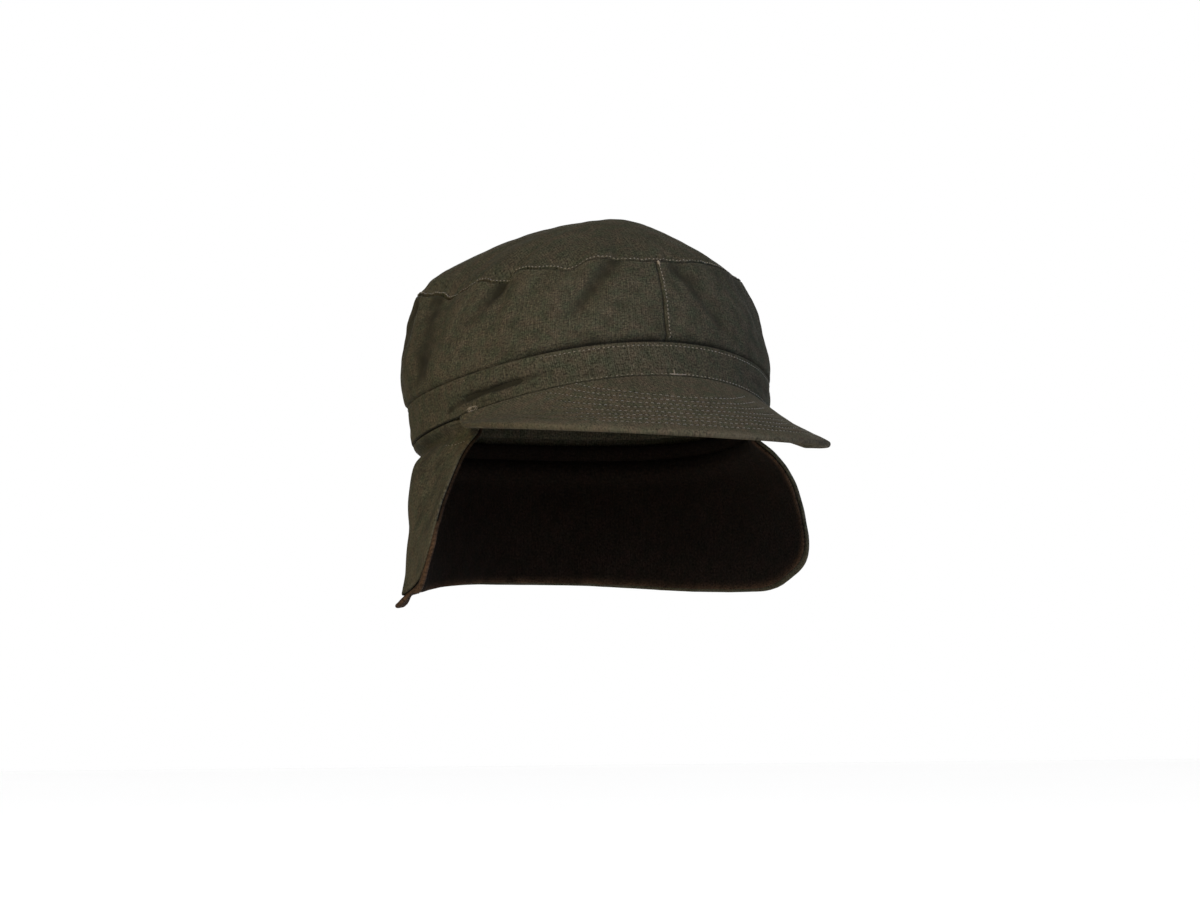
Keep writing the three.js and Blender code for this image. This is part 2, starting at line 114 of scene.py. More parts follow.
# Folds of the crown's wall: from angle and share of the height, to angle and share, half width, height
WALL_FOLDS = [
    (-84, 1.02, -86, 0.22, 8.0, -2.2),
    (-87, 0.28, -90, 0.12, 6.0, -1.5),
    (-104, 0.85, -107, 0.3, 11.5, -3.9),
    (-94, 0.96, -93, 0.75, 5, 1.0),
    (-70, 0.9, -74, 0.25, 8, 2.2),
    (-55.4, 1.0, -64.5, 0.56, 4.2, -2.9),
    (-54.6, 1.02, -57, 0.86, 2.0, -3.0),
    (-66, 0.8, -72, 0.35, 3.4, -1.0),
    (-43, 1.0, -50, 0.55, 5, 1.8),
    (-15.5, 1.0, -27.5, 0.45, 5.0, -3.0),
    (-24, 0.6, -27, 0.2, 7, -1.0),
    (-31, 0.95, -36, 0.5, 7, 1.4),
    (7.5, 1.02, 22, 0.3, 5.6, -3.0),
    (25, 1.0, 33, 0.76, 4, -1.4),
    (-46, 0.07, -12, 0.1, 3.6, 1.9),
    (-12, 0.08, 22, 0.08, 3.4, 1.3),
    (44, 1.0, 50, 0.5, 6, -1.2),
    (66, 0.9, 64, 0.5, 16, 1.8),
    (80, 1.0, 78, 0.25, 8, -2.2),
    (112, 1.0, 120, 0.35, 8, -2.0),
    (148, 1.0, 140, 0.3, 9, -2.2),
    (-122, 1.0, -116, 0.35, 9, -2.0),
    (-152, 1.0, -158, 0.3, 9, -2.0),
]

# Painted shade in the folds of the crown's wall: from angle and share of the height, to angle and share, half
# width, depth
WALL_PAINTED_SHADES = [
    (-83, 1.0, -84, 0.34, 9.5, 0.34),
    (-85, 0.32, -89, 0.12, 9.0, 0.34),
    (-55.4, 1.0, -58.5, 0.8, 4.5, 0.45),
    (-57, 0.86, -66, 0.45, 6.5, 0.2),
    (-16, 1.0, -28, 0.42, 8.0, 0.1),
    (8, 1.0, 23, 0.25, 9.0, 0.12),
]

# Creases of the band: from angle and height above the rim, to angle and height, half width, height
BAND_CREASES = [
    (-75, 4.2, -62, 7.2, 1.4, -1.2),
    (-66, 7.0, -47, 6.9, 1.5, -2.2),
    (-55, 6.8, -36, 7.8, 1.4, -1.3),
    (-74, 11.5, -36, 12.8, 2.4, 0.8),
    (-60, 3.8, -30, 4.6, 2.2, 0.5),
    (-44, 2.9, 6, 2.3, 1.1, -0.5),
    (38, 8.0, 70, 6.5, 2.6, -0.6),
    (120, 9.0, 158, 7.0, 2.6, -0.5),
    (-150, 8.5, -112, 7.5, 2.6, -0.5),
]

# Folds of the flap: angle, half width in degrees, how far it stands out at the hem
FLAP_FOLDS = [
    (-172, 11, 2.6),
    (-150, 10, -2.6),
    (-126, 11, 1.8),
    (-104, 9, -2.0),
    (106, 9, -1.4),
    (130, 11, 2.2),
    (153, 10, -2.4),
    (172, 10, 1.6),
]

# Shares of the flap's drop where its rows lie closer, under the rim and at the hem
FLAP_HEAD = np.array([0, 0.004, 0.008, 0.013, 0.02, 0.027])
FLAP_HEM = np.array([0.009, 0.004, 0.0015, 0.0003, 0])

# The flap's two sides, the wearer's right and left: flare, the drops over which it grows at the front edge
# and at the side, corner height and roundness, tip, curl of the edge and lift of the hem
FLAP_SIDES = {
    "flare": (17.4, 21.5),
    "front": (52.0, 22.5),
    "side": (12.0, 31.0),
    "corner": (33.0, 28.5),
    "round": (2.4, 1.8),
    "tip": (5.4, 0.0),
    "curl": (8.6, 5.2),
    "lift": (0.0, 2.0),
}


# Arithmetic on arrays
def smooth(start, end, x):
    """From 0 at start to 1 at end, level at both."""
    t = np.clip((np.asarray(x, float) - start) / (end - start), 0, 1)
    return t * t * (3 - 2 * t)


def bump(x):
    return np.exp(-np.square(x))


def turn(a, b):
    """The turn from angle b to angle a, the short way."""
    return (np.asarray(a, float) - b + 180) % 360 - 180


def sin(a):
    return np.sin(np.radians(a))


def cos(a):
    return np.cos(np.radians(a))


def paired(a, b):
    return np.broadcast_arrays(np.asarray(a, float), np.asarray(b, float))


def joined(*parts, axis=0):
    return np.concatenate(parts, axis)


def xyz(x, y, z):
    return np.stack(np.broadcast_arrays(x, y, z), -1).astype(float)


def unit(v):
    return v / np.maximum(np.linalg.norm(v, axis=-1, keepdims=True), 1e-9)


def lerp(p, q, t):
    return p + (q - p) * np.asarray(t, float)[..., None]


def moved(p, way, far):
    return p + way * np.asarray(far, float)[..., None]


def swells(table, a):
    """Heights at angles a of a table's swells: angle, half width, height."""
    return sum(height * bump(turn(a, angle) / width) for angle, width, height in table)


def folds(table, a, up, arc, high=1.0):
    """Heights of a table's folds at angles a and levels up, arc and high being a degree and a level in mm."""
    total = 0
    for a0, up0, a1, up1, width, height in table:
        u, v = turn(a, a0) * arc, (up - up0) * high
        du, dv = turn(a1, a0) * arc, (up1 - up0) * high
        t = np.clip((u * du + v * dv) / (du * du + dv * dv), 0, 1)
        total += height * bump(np.hypot(u - du * t, v - dv * t) / width) * (1 - 0.5 * t)
    return total


def crumple(p, size, seed):
    """Soft unevenness of cloth at points p, between about -1 and 1, without seams."""
    rng = np.random.default_rng(seed)
    total = np.zeros(p.shape[:-1])
    for _ in range(9):
        way = unit(rng.normal(size=3))
        total += np.sin(p @ way * (FULL_TURN / (size * rng.uniform(0.6, 1.7))) + rng.uniform(0, FULL_TURN))
    return total / 3.6


def pucker(along, pitch, seed):
    """Gathers along a seam, uneven in width, between about -1 and 1."""
    rng = np.random.default_rng(seed)
    bend = sum(np.sin(along / s + rng.uniform(0, FULL_TURN)) * s for s in (9.0, 17.0, 31.0)) * 0.16
    swell = 0.65 + 0.35 * np.sin(along / 23.0 + rng.uniform(0, FULL_TURN))
    return np.sin((along + bend) * FULL_TURN / pitch) * swell


def with_normals(surface, a, v, da, dv, towards=None):
    """Points of surface(a, v), and its unit normals on the side of towards, which is outward if not given."""
    a, v = paired(a, v)
    side = surface(a + da, v) - surface(a - da, v)
    down = surface(a, v + dv) - surface(a, v - dv)
    n = unit(np.cross(side, down))
    wrong = np.sum(n * (outward(a) if towards is None else towards), -1) < 0
    return surface(a, v), np.where(wrong[..., None], -n, n)


# Rim and band
def rim_level(a):
    return RIM_PITCH * cos(a) + RIM_BOW * cos(2 * a)


def outward(a):
    return unit(xyz(sin(a) / RIM_WIDTH, -cos(a) / RIM_LENGTH, 0))


def band_point(a, h, out):
    """A point at height h above the rim, out from the band's face."""
    low = xyz(RIM_WIDTH * sin(a), -RIM_LENGTH * cos(a), rim_level(a))
    top = rim_level(a) + BAND_HEIGHT - BAND_PITCH * cos(a)
    high = xyz(BAND_WIDTH * sin(a), BAND_SHIFT - BAND_LENGTH * cos(a), top)
    a, h, out = np.broadcast_arrays(a, h, out)
    return moved(lerp(low, high, h / BAND_HEIGHT), outward(a), out)


def past_temple(a):
    """From 0 behind the wearer's right temple to 1 in front of it and beyond."""
    return smooth(-52, -34, a)


def band_crease(a, h):
    return folds(BAND_CREASES, a, h, RIM_ROUND)


def rounded(d, radius):
    """How far a rounded edge falls back at distance d from the edge."""
    t = np.clip(1 - np.asarray(d, float) / radius, 0, 1)
    return radius * (1 - np.sqrt(1 - t * t))


def band_face(a, h):
    """The band's outer face with its creases, stitched groove and slight puckers."""
    a, h = paired(a, h)
    from_row = h - BAND_HEIGHT + BAND_ROW
    relief = band_crease(a, h) * 1.25 - 0.28 * bump(from_row / 0.55)
    relief -= 0.22 * bump((h - RIM_ROW) / 0.5) * smooth(70, 66, np.abs(a))
    near_seam = bump(from_row / 2.4) + 0.8 * bump((h - 1.0) / 2.6)
    relief += 0.16 * pucker(a * BAND_ROUND, 5.2, 11) * near_seam
    relief += 0.32 * crumple(band_point(a, h, 0), 19, 3) * smooth(0, 5, h) * smooth(BAND_HEIGHT, 12, h)
    roll = 0.45 + 0.35 * past_temple(a)
    return band_point(a, h, relief - rounded(h, 0.8) - rounded(BAND_HEIGHT - h, roll))


# Crown
def seam_dip(a):
    return swells(SEAM_WAVES, a)


def seam_ring(a):
    """The crown's top seam before its waves."""
    c = cos(a)
    length = SEAM_LENGTH - 11 * smooth(-0.15, -1, c)
    level = SEAM_LEVEL + 1.5 * c + 1.4 * cos(2 * a) - 6 * smooth(-0.5, -1, c)
    ring = xyz(SEAM_WIDTH * sin(a) * (1 - 0.035 * c), SEAM_SHIFT - length * c, level)
    return moved(ring, outward(a), swells(SEAM_CORNERS, a))


def wall_fold(a, v, table=WALL_FOLDS):
    return folds(table, a, v, WALL_ROUND, WALL_HEIGHT)


def wall_point(a, v, relief=0.0):
    """A point of the crown's wall at share v of its height, with its swell and folds."""
    a, v = paired(a, v)
    c = cos(a)
    top = moved(seam_ring(a), UP, -seam_dip(a))
    w = np.maximum(v, 0) ** 0.85
    swell = 6.2 - 3.2 * smooth(-0.35, 0.4, c)
    clear = 0.022 + 0.012 * past_temple(a)
    hug = -(BAND_THICK + GAP) * (1 - smooth(0.004, clear, v))
    fold = wall_fold(a, v) * smooth(0.02, 0.1, v) * (1 - 0.6 * smooth(0.86, 1, v))
    out = swell * (1 - (2 * w - 1) ** 2) + hug + fold + relief
    return moved(lerp(band_point(a, BAND_HEIGHT, 0), top, v), outward(a), out)


def wall_relief(a, v):
    """Fine shape of the crown's wall: puckers at its seams, the raised centre seams, uneven cloth."""
    arc, up = a * WALL_ROUND, v * WALL_HEIGHT
    below = (1 - v) * WALL_HEIGHT
    relief = 0.34 * pucker(arc, 7.4, 5) * np.exp(-below / 6.5) * smooth(0.2, 2.6, below)
    relief += 0.25 * bump((below - 0.6) / 1.8)
    relief += 0.22 * pucker(arc, 8.6, 6) * np.exp(-up / 5.5) * smooth(0.5, 3, up)
    place, free = wall_point(a, v), smooth(0.04, 0.2, v)
    relief += 0.5 * crumple(place, 27, 8) * free * smooth(1.0, 0.85, v)
    relief += 0.16 * crumple(place, 9, 9) * free * smooth(1.0, 0.9, v)
    for middle, way in ((0, 1), (180, -1)):
        d = turn(a, middle) * WALL_ROUND * way
        ridge = 0.32 * bump((d - 1.7) / 1.4) * (d > 0)
        groove = -0.5 * bump(d) - 0.12 * bump((d + 2.2) / 1.4)
        gathers = 0.2 * pucker(up + 3 * np.sign(d), 6.6, 21 + middle) * bump(d / 6)
        relief += (ridge + groove + gathers * smooth(0, 2.5, np.abs(d))) * smooth(0.0, 0.05, v)
    return relief


def wall_face(a, v):
    a, v = paired(a, v)
    return wall_point(a, v, wall_relief(a, v))


def top_point(a, r):
    """A point of the crown's top at share r of the way from its apex to the seam."""
    b = seam_ring(a)
    e = 1.95 - 0.35 * cos(a)
    flat = lerp(np.broadcast_to(APEX, b.shape), b, r)
    gather = -0.5 * wall_fold(a, 0.9 + 0 * a) * bump((r - 0.9) / 0.22)
    rise = (APEX[2] - b[..., 2]) * (1 - np.maximum(r, 0) ** e)
    z = b[..., 2] + rise - seam_dip(a) * r**4 - gather * (1 - r)
    z += SHOULDER * bump(turn(a, -96) / 26) * bump((r - 0.9) / 0.18) * smooth(1, 0.93, r)
    return xyz(flat[..., 0], flat[..., 1], z)


def top_edge(a):
    """At the top of the wall: the seam, the way up along the wall, and the way out of it."""
    seam, out = with_normals(wall_point, a, 1, 0.6, 0.01)
    return seam, unit(seam - wall_point(a, 0.97)), out


def top_face(a, r):
    """The crown top's upper face: its rolled welt, the stitched groove behind it and its gathers."""
    a, r = paired(a, r)
    seam, up, out = top_edge(a)
    high = seam + up * (GAP + 2 * EDGE_ROLL) + out * WELT
    lift = high - top_point(a, 1.0)
    p = top_point(a, r) + lift * (r**6)[..., None]
    d = (1 - r) * np.linalg.norm(seam_ring(a) - APEX, axis=-1)
    relief = 0.3 * bump((d - 1.2) / 1.2) - 0.25 * bump((d - 3.6) / 1.4)
    relief += 0.38 * pucker(a * WALL_ROUND, 7.4, 5) * bump((d - 2.5) / 4.0)
    relief += (0.5 * crumple(p, 30, 14) + 0.14 * crumple(p, 10, 15)) * smooth(1.0, 12, d)
    return moved(p, UP, relief)


# Peak
def peak_edge(q):
    """The peak's outer edge, from q of -1 at the wearer's right to 1 at the left."""
    side = np.where(q < 0, -1.0, 1.0)
    s = np.abs(q)
    w = np.minimum(1, s / PEAK_TAIL) * np.pi / 2
    tail = np.maximum(0, (s - PEAK_TAIL) / (1 - PEAK_TAIL))
    x = PEAK_HALF * np.sin(w) - 3.9 * tail**1.5
    y = -PEAK_ROOT - PEAK_REACH * np.cos(w) + 35 * tail
    z = -PEAK_LOW + 6.2 * (1 - np.cos(w)) - 2.6 * side * np.sin(w) * (1 - tail) + 4.6 * tail
    return xyz(side * x, y, z)


def peak_point(q, t):
    """A point of the peak's middle, on straight lines from just inside the band's foot to the edge."""
    q, t = paired(q, t)
    past = np.clip((np.abs(q) - PEAK_TURN) / (1 - PEAK_TURN), 0, 0.9999)
    t = t * (1 - past**PEAK_CURVE) ** (1 / PEAK_CURVE)
    line = lerp(band_point(PEAK_END * q, 0, -GAP), peak_edge(q), t)
    sag = 4 * t * (1 - t) * smooth(0.1, 0.5, np.abs(q)) * (1 - smooth(0.85, 1, np.abs(q)))
    return moved(line, UP, -sag)


# Flap
def flap_side(a, name):
    return np.where(np.asarray(a) < 0, *FLAP_SIDES[name])


def flap_length(a, front=FLAP_FRONT):
    """The drop from the rim to the hem, with the corner beside the front edge."""
    s = np.abs(a)
    t = np.clip((front - s) / CORNER_WIDTH + 1, 0, 1)
    e = flap_side(a, "round")
    corner = flap_side(a, "corner") * (1 - (1 - t**e) ** (1 / e))
    point = flap_side(a, "tip") * SHELL_TIP * bump((s - 90) / 9)
    back = smooth(100, 170, s)
    hem = FLAP_LOW + flap_side(a, "lift") * (1 - back) + 7 * back + corner - point
    return rim_level(a) - hem


def flap_point(a, h, relief=0.0):
    """A point of the flap h below the rim, with its pinch, folds, curl and flare."""
    a, h = paired(a, h)
    s = np.abs(a)
    hang = smooth(8, 75, h)
    out = -FLAP_PINCH * bump((h - PINCH_AT) / PINCH_WIDE) - (BAND_THICK + GAP)
    out += 2.0 * smooth(0.0, 1.0, h) * smooth(6, 2, h) * smooth(69, 74, s)
    out -= 2.0 * smooth(77, 70.5, s) * smooth(-5, -1, h) * (1 - smooth(11, 22, h))
    out += 3 * smooth(110, 180, s) * hang
    out += swells(FLAP_FOLDS, a) * hang
    out += flap_side(a, "curl") * bump((s - FLAP_FRONT) / CURL_WIDE) * smooth(8, 60, h)
    out += 0.8 * flap_side(a, "tip") * bump((s - 88) / 9) * smooth(60, 95, h)
    out += 1.3 * flap_side(a, "tip") * bump((s - 90) / 10) * smooth(79, 88, h)
    grow = flap_side(a, "front") + (flap_side(a, "side") - flap_side(a, "front")) * smooth(70, 92, s)
    full = 1 - np.exp(-np.maximum(h - FLARE_FROM, 0) / grow)
    flare = flap_side(a, "flare") * smooth(FLARE_REACH, 64, s) * full
    p = band_point(a, np.maximum(-h, 0), out + relief)
    return p + xyz(np.where(a < 0, -1, 1) * flare, 0 * a, -np.maximum(h, 0))


def flap_relief(a, h):
    """Fine shape of the flap's cloth, shared by its two layers so that they never meet."""
    p = flap_point(a, h)
    free = smooth(2, 14, h)
    relief = 0.75 * crumple(p, 34, 41) * smooth(8, 40, h) + 0.22 * crumple(p, 13, 42) * free
    relief += bump((h - 33) / 8) * bump(turn(a, -110) / 12)
    relief -= 2.3 * bump((h - 45) / 5.2) * bump(turn(a, -108) / 12)
    return relief + 0.25 * pucker(a * RIM_ROUND, 9.5, 43) * np.exp(-np.abs(h - 10) / 7) * smooth(0, 5, h)


def flap_face(a, h):
    a, h = paired(a, h)
    return flap_point(a, h, flap_relief(a, h))


# Meshes
def run_of(line):
    """Distances along a line of points."""
    return np.append(0, np.cumsum(np.linalg.norm(np.diff(line, axis=0), axis=1)))


def points_at(line, run, s):
    return np.stack([np.interp(s, run, line[:, k]) for k in range(3)], -1)


def nearest_on(points, edge):
    """Distance in millimetres of each point from a line of points, and the line's nearest point."""
    run = run_of(edge)
    line = points_at(edge, run, np.linspace(0, run[-1], int(run[-1] / 0.12) + 2))
    tree = KDTree(len(line))
    for i, p in enumerate(line):
        tree.insert(p, i)
    tree.balance()
    found = [tree.find(p) for p in points.reshape(-1, 3)]
    away = np.array([hit[2] for hit in found]).reshape(points.shape[:-1])
    return away, line[np.array([hit[1] for hit in found])].reshape(points.shape)


def cloth_grid(across, up):
    return np.stack(np.broadcast_arrays(across, up), -1)


def led(rows, values):
    """Wear and painted light of a piece of cloth, with none on its first rows, which are tucked away."""
    return joined(np.zeros((rows, values.shape[1])), values)


def placed(name, data):
    thing = bpy.data.objects.new(name, data)
    bpy.context.scene.collection.objects.link(thing)
    return thing


def add_piece(name, points, faces, kind, corners=None, wear_and_painted_light=None):
    """A piece from points in millimetres, with the cloth's own coordinates at each face's corners."""
    slot, material = finish_of(kind)
    mesh = bpy.data.meshes.new(name)
    mesh.from_pydata((points * MM).tolist(), [], faces)
    if corners is not None:
        layer = mesh.uv_layers.new(name="cloth")
        layer.data.foreach_set("uv", np.asarray(corners, "f").ravel())
        # A value at each point: rubbed wear and painted highlight above zero, painted shade below zero.
        layer = mesh.attributes.new("wear_and_painted_light", "FLOAT", "POINT")
        layer.data.foreach_set("value", np.asarray(wear_and_painted_light, "f").ravel())
    mesh.polygons.foreach_set("use_smooth", np.ones(len(mesh.polygons), bool))
    mesh.materials.append(material)
    mesh.validate()
    mesh.update()
    piece = placed(name, mesh)
    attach(piece, "root")
    return piece


def cloth_piece(node, outer, inner, cloth, wear_and_painted_light, kind, ring=False, apex=False, under=None):
    """A closed sheet of cloth for a CAD node, from its outer and inner faces, rows by columns of points."""
    rows, cols = outer.shape[:2]
    far = 2 * rows - 1
    coords = joined(cloth, (cloth if under is None else under)[::-1])
    index = np.arange(2 * rows * cols).reshape(2 * rows, cols)
    if apex:
        index[0, :] = index[0, 0]
        index[-1, :] = index[-1, 0]
    if ring:
        index = joined(index, index[:, :1], axis=1)
    both = []
    for grid in (index, coords):
        found = []
        for i in range(far if apex else far + 1):
            k = (i + 1) % (far + 1)
            found.append(np.stack([grid[i, :-1], grid[i, 1:], grid[k, 1:], grid[k, :-1]], 1))
        for i in range(0 if ring else rows - 1):
            end = [i, i + 1, far - i - 1, far - i]
            found += [grid[end, 0][None], grid[end[::-1], -1][None]]
        both.append(joined(*found))
    quads, places = both
    points = joined(outer, inner[::-1]).reshape(-1, 3)
    one, two, three, four = (points[quads[:, k]] for k in range(4))
    volume = np.sum(one * np.cross(two, three)) + np.sum(one * np.cross(three, four))
    if volume < 0:
        quads, places = quads[:, ::-1], places[:, ::-1]
    faces, corners = [], []
    for quad, place in zip(quads.tolist(), places.tolist()):
        keep = [k for k in range(4) if quad[k] != quad[k - 1]]
        if len(keep) > 2:
            faces.append([quad[k] for k in keep])
            corners.extend(place[k] for k in keep)
    piece = add_piece(node + "_cloth", points, faces, kind, corners, joined(wear_and_painted_light, wear_and_painted_light[::-1]))
    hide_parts(node)
    return piece


class ThreadWork:
    """Gathers stitches and makes them into one object."""

    def __init__(self):
        self.size = bpy.context.scene.field_cap_sizes
        self.width = self.size.thread / MM
        self.seam_pitch = self.size.seam_pitch / MM
        self.points = []
        self.rng = np.random.default_rng(77)

    def stitches(self, starts, ends, normals, width):
        """Rounded stitches from starts to ends, arched over the cloth along normals."""
        t = np.array([0.0, 0.2, 0.5, 0.8, 1.0])
        arch = np.array([-0.45, 0.08, 0.22, 0.08, -0.45])
        girth = np.array([0.45, 0.95, 1.0, 0.95, 0.45])
        across, normals = unit(np.cross(unit(ends - starts), normals))[:, None], normals[:, None]
        line = moved(lerp(starts[:, None], ends[:, None], t), normals, arch * width)
        turns = np.arange(6) * np.pi / 3
        ring = across * np.cos(turns)[:, None] + normals * np.sin(turns)[:, None] * 0.8
        radius = (0.5 * width * girth)[:, None, None]
        self.points.append((line[:, :, None] + ring[:, None] * radius).reshape(-1, 3))

    def row(self, path, normals, width=None, pitch=None, share=None, slant=0.12, sunk=0.0):
        """A row of stitches along a path on the cloth, evenly spaced."""
        path = path - normals * np.broadcast_to(sunk, len(path))[:, None]
        width = width or self.width
        pitch = pitch or self.size.pitch / MM
        share = share or self.size.share
        run = run_of(path)
        count = max(1, int(run[-1] / pitch))
        begin = (np.arange(count) + 0.5 * (1 - share)) * run[-1] / count
        begin += self.rng.uniform(-0.06, 0.06, count) * pitch
        finish = begin + pitch * share
        n = unit(points_at(normals, run, (begin + finish) / 2))
        p, q = points_at(path, run, begin), points_at(path, run, finish)
        aside = unit(np.cross(q - p, n)) * (self.rng.normal(0, 0.5, count) * width * slant)[:, None]
        self.stitches(p - aside, q + aside, n, width)

    def sew(self, surface, a, v, da, dv, **looks):
        """A row of stitches along a line of a surface."""
        path, normals = with_normals(surface, a, v, da, dv)
        self.row(path, normals, **looks)

    def tack(self, centre, along, normal, length, across, count):
        """A bar tack: close stitches side by side over a short bar."""
        along = unit(along - normal * np.dot(along, normal))
        side = np.cross(normal, along)
        t = (np.arange(count) + 0.5) / count - 0.5
        middle = centre + along * (t * length)[:, None]
        reach = 0.5 * across * np.sqrt(1 - (1.7 * t) ** 2)[:, None]
        lean = along * 0.15 * across
        n = np.broadcast_to(normal, middle.shape)
        self.stitches(middle - side * reach - lean, middle + side * reach + lean, n, 0.9 * self.width)

    def finish(self, name, kind):
        points = joined(*self.points)
        ring = np.arange(6)
        turned = np.roll(ring, -1)
        quads = joined(*(np.stack([ring + 6, turned + 6, turned, ring], -1) + 6 * k for k in range(4)))
        base = np.arange(0, len(points), 30)[:, None]
        faces = (base[:, :, None] + quads).reshape(-1, 4).tolist()
        faces += (base + ring).tolist() + (base + 24 + ring[::-1]).tolist()
        add_piece(name, points, faces, kind)


# Materials
class Finish:
    """A new material, with short ways to make its nodes and join them."""

    def __init__(self, name):
        self.material = bpy.data.materials.new(name)
        self.material.use_nodes = True
        self.tree = self.material.node_tree

    def put(self, node, inputs):
        """Joins a node's inputs to the outputs given for them, or sets them to the values."""
        for place, value in inputs.items():
            if hasattr(value, "is_linked"):
                self.tree.links.new(value, node.inputs[place])
            else:
                node.inputs[place].default_value = value

    def node(self, kind, inputs, output=0, **settings):
        node = self.tree.nodes.new("ShaderNode" + kind)
        for name, value in settings.items():
            setattr(node, name, value)
        self.put(node, inputs)
        return node.outputs[output]

    def mix(self, factor, one, two):
        return self.node("Mix", {0: factor, 6: one, 7: two}, 2, data_type="RGBA")

    def math(self, kind, one, two):
        return self.node("Math", {0: one, 1: two}, operation=kind)

    def span(self, value, low, high, to_low=0, to_high=1):
        return self.node("MapRange", {0: value, 1: low, 2: high, 3: to_low, 4: to_high})

    def grain(self, place, scale, detail, stretch=(1, 1, 1)):
        stretched = self.node("Mapping", {"Vector": place, "Scale": stretch})
        return self.node("TexNoise", {"Vector": stretched, "Scale": scale, "Detail": detail})

    def ribs(self, place, pitch, turned, unevenness):
        """Even ribs of yarn, pitch millimetres apart."""
        place = self.node("Mapping", {"Vector": place, "Rotation": (0, 0, np.radians(turned))})
        wave = {"Vector": place, "Scale": WAVE / pitch, "Distortion": unevenness}
        return self.node("TexWave", {**wave, "Detail": 2, "Detail Scale": 1.5}, "Fac")

    def bumped(self, height, distance, strength, before=None):
        inputs = {"Height": height, "Distance": distance, "Strength": strength}
        if before is not None:
            inputs["Normal"] = before
        return self.node("Bump", inputs)

    def shaded(self, inputs):
        """Gives the shader its inputs, and returns the material."""
        self.put(self.tree.nodes["Principled BSDF"], inputs)
        return self.material


def shade(colour, brightness, warmth=0.0):
    r, g, b = colour[:3]
    return (r * brightness * (1 + warmth), g * brightness * (1 - 0.5 * warmth), b * brightness, 1)


def woven_cloth(name, colour, rubbed_and_lit_colour, ribbed, brushed):
    """Cotton cloth: twill ribs, uneven yarn, mottled dye, rubbed places with painted highlight, painted
    shade, and a soft sheen.
    """
    look = Finish(name)
    place = look.node("UVMap", {}, uv_map="cloth")
    twill = look.ribs(place, ribbed, 28, 1.4)
    line = look.ribs(place, 1.05, 0, 0.9)
    warp = look.ribs(place, 0.46, 0, 0.8)
    weft = look.ribs(place, 0.5, 90, 0.8)
    slub = look.grain(place, 1.0, 2, (1.35, 0.11, 1))
    cross_slub = look.grain(place, 1.0, 1, (0.12, 1.5, 1))
    mottle = look.grain(place, 0.16, 4)
    speck = look.grain(place, 1.0, 3)
    patch = look.grain(place, 0.022, 2)

    green = shade(colour, 0.91, -0.08)
    brown = shade(colour, 1.09, 0.07)
    tone = look.mix(look.span(mottle, 0.36, 0.64), green, brown)
    yarn = look.span(slub, 0.3, 0.7, 0.8, 1.2)
    for cause, low, high, dark, pale in (
        (cross_slub, 0.3, 0.7, 0.9, 1.1),
        (speck, 0.3, 0.7, 0.36, 1.7),
        (line, 0, 1, 0.86, 1.14),
        (twill, 0, 1, 0.9, 1.08),
        (patch, 0.35, 0.65, 0.93, 1.07),
    ):
        yarn = look.math("MULTIPLY", yarn, look.span(cause, low, high, dark, pale))
    dyed = look.node("VectorMath", {0: tone, "Scale": yarn}, operation="SCALE")

    # The per-point value: above zero, rubbed wear and painted highlight turn the cloth to the rubbed colour.
    painted_light_and_wear = look.node("Attribute", {}, "Fac", attribute_name="wear_and_painted_light")
    rubbed = look.math("MULTIPLY", look.span(painted_light_and_wear, 0, 1), look.span(speck, 0.35, 0.6, 0.35, 1))
    colour_with_painted_light = look.mix(rubbed, dyed, rubbed_and_lit_colour)
    # Below zero, painted shade darkens the cloth towards 0.42 of its colour.
    colour_with_painted_light = look.mix(look.span(painted_light_and_wear, 0, -1), colour_with_painted_light, shade(colour, 0.42))

    rough = look.span(mottle, 0.3, 0.7, 0.82, 0.95)
    weave = look.math("ADD", look.math("MULTIPLY", warp, weft), look.math("MULTIPLY", twill, 0.9))
    normal = look.bumped(look.grain(place, 0.13, 2), 0.0011, 0.4)
    normal = look.bumped(slub, 0.00016, brushed, normal)
    return look.shaded({
        "Base Color": colour_with_painted_light,
        "Roughness": look.math("SUBTRACT", rough, look.math("MULTIPLY", rubbed, 0.08)),
        "Normal": look.bumped(weave, 0.00008, 0.5, normal),
        "Specular IOR Level": 0.004,
        "Sheen Weight": 0.01,
        "Sheen Roughness": 0.5,
        "Sheen Tint": (0.5, 0.47, 0.4, 1),
    })


def sewing_thread(name, colour):
    """Twisted sewing thread, slightly uneven in colour from stitch to stitch."""
    look = Finish(name)
    place = look.node("TexCoord", {}, "Object")
    blotch = look.grain(place, 260, 2)
    twist = {"Vector": place, "Scale": 900, "Distortion": 0.6}
    twist = look.node("TexWave", twist, "Fac", bands_direction="DIAGONAL")
    dark, pale = shade(colour, 0.72), shade(colour, 1.2)
    return look.shaded({
        "Base Color": look.mix(look.span(blotch, 0.35, 0.65), dark, pale),
        "Roughness": look.span(blotch, 0.3, 0.7, 0.55, 0.75),
        "Normal": look.bumped(twist, 0.00008, 0.6),
        "Specular IOR Level": 0.3,
        "Sheen Weight": 0.1,
    })


def studio_floor(name, colour):
    """A plain matt studio floor, very slightly uneven."""
    look = Finish(name)
    place = look.node("TexCoord", {}, "Object")
    fine = look.grain(place, 60, 3)
    return look.shaded({
        "Base Color": look.mix(look.grain(place, 1.4, 3), shade(colour, 0.985), shade(colour, 1.0)),
        "Roughness": look.span(fine, 0.3, 0.7, 0.7, 0.85),
        "Normal": look.bumped(fine, 0.0004, 0.1),
        "Specular IOR Level": 0.2,
    })


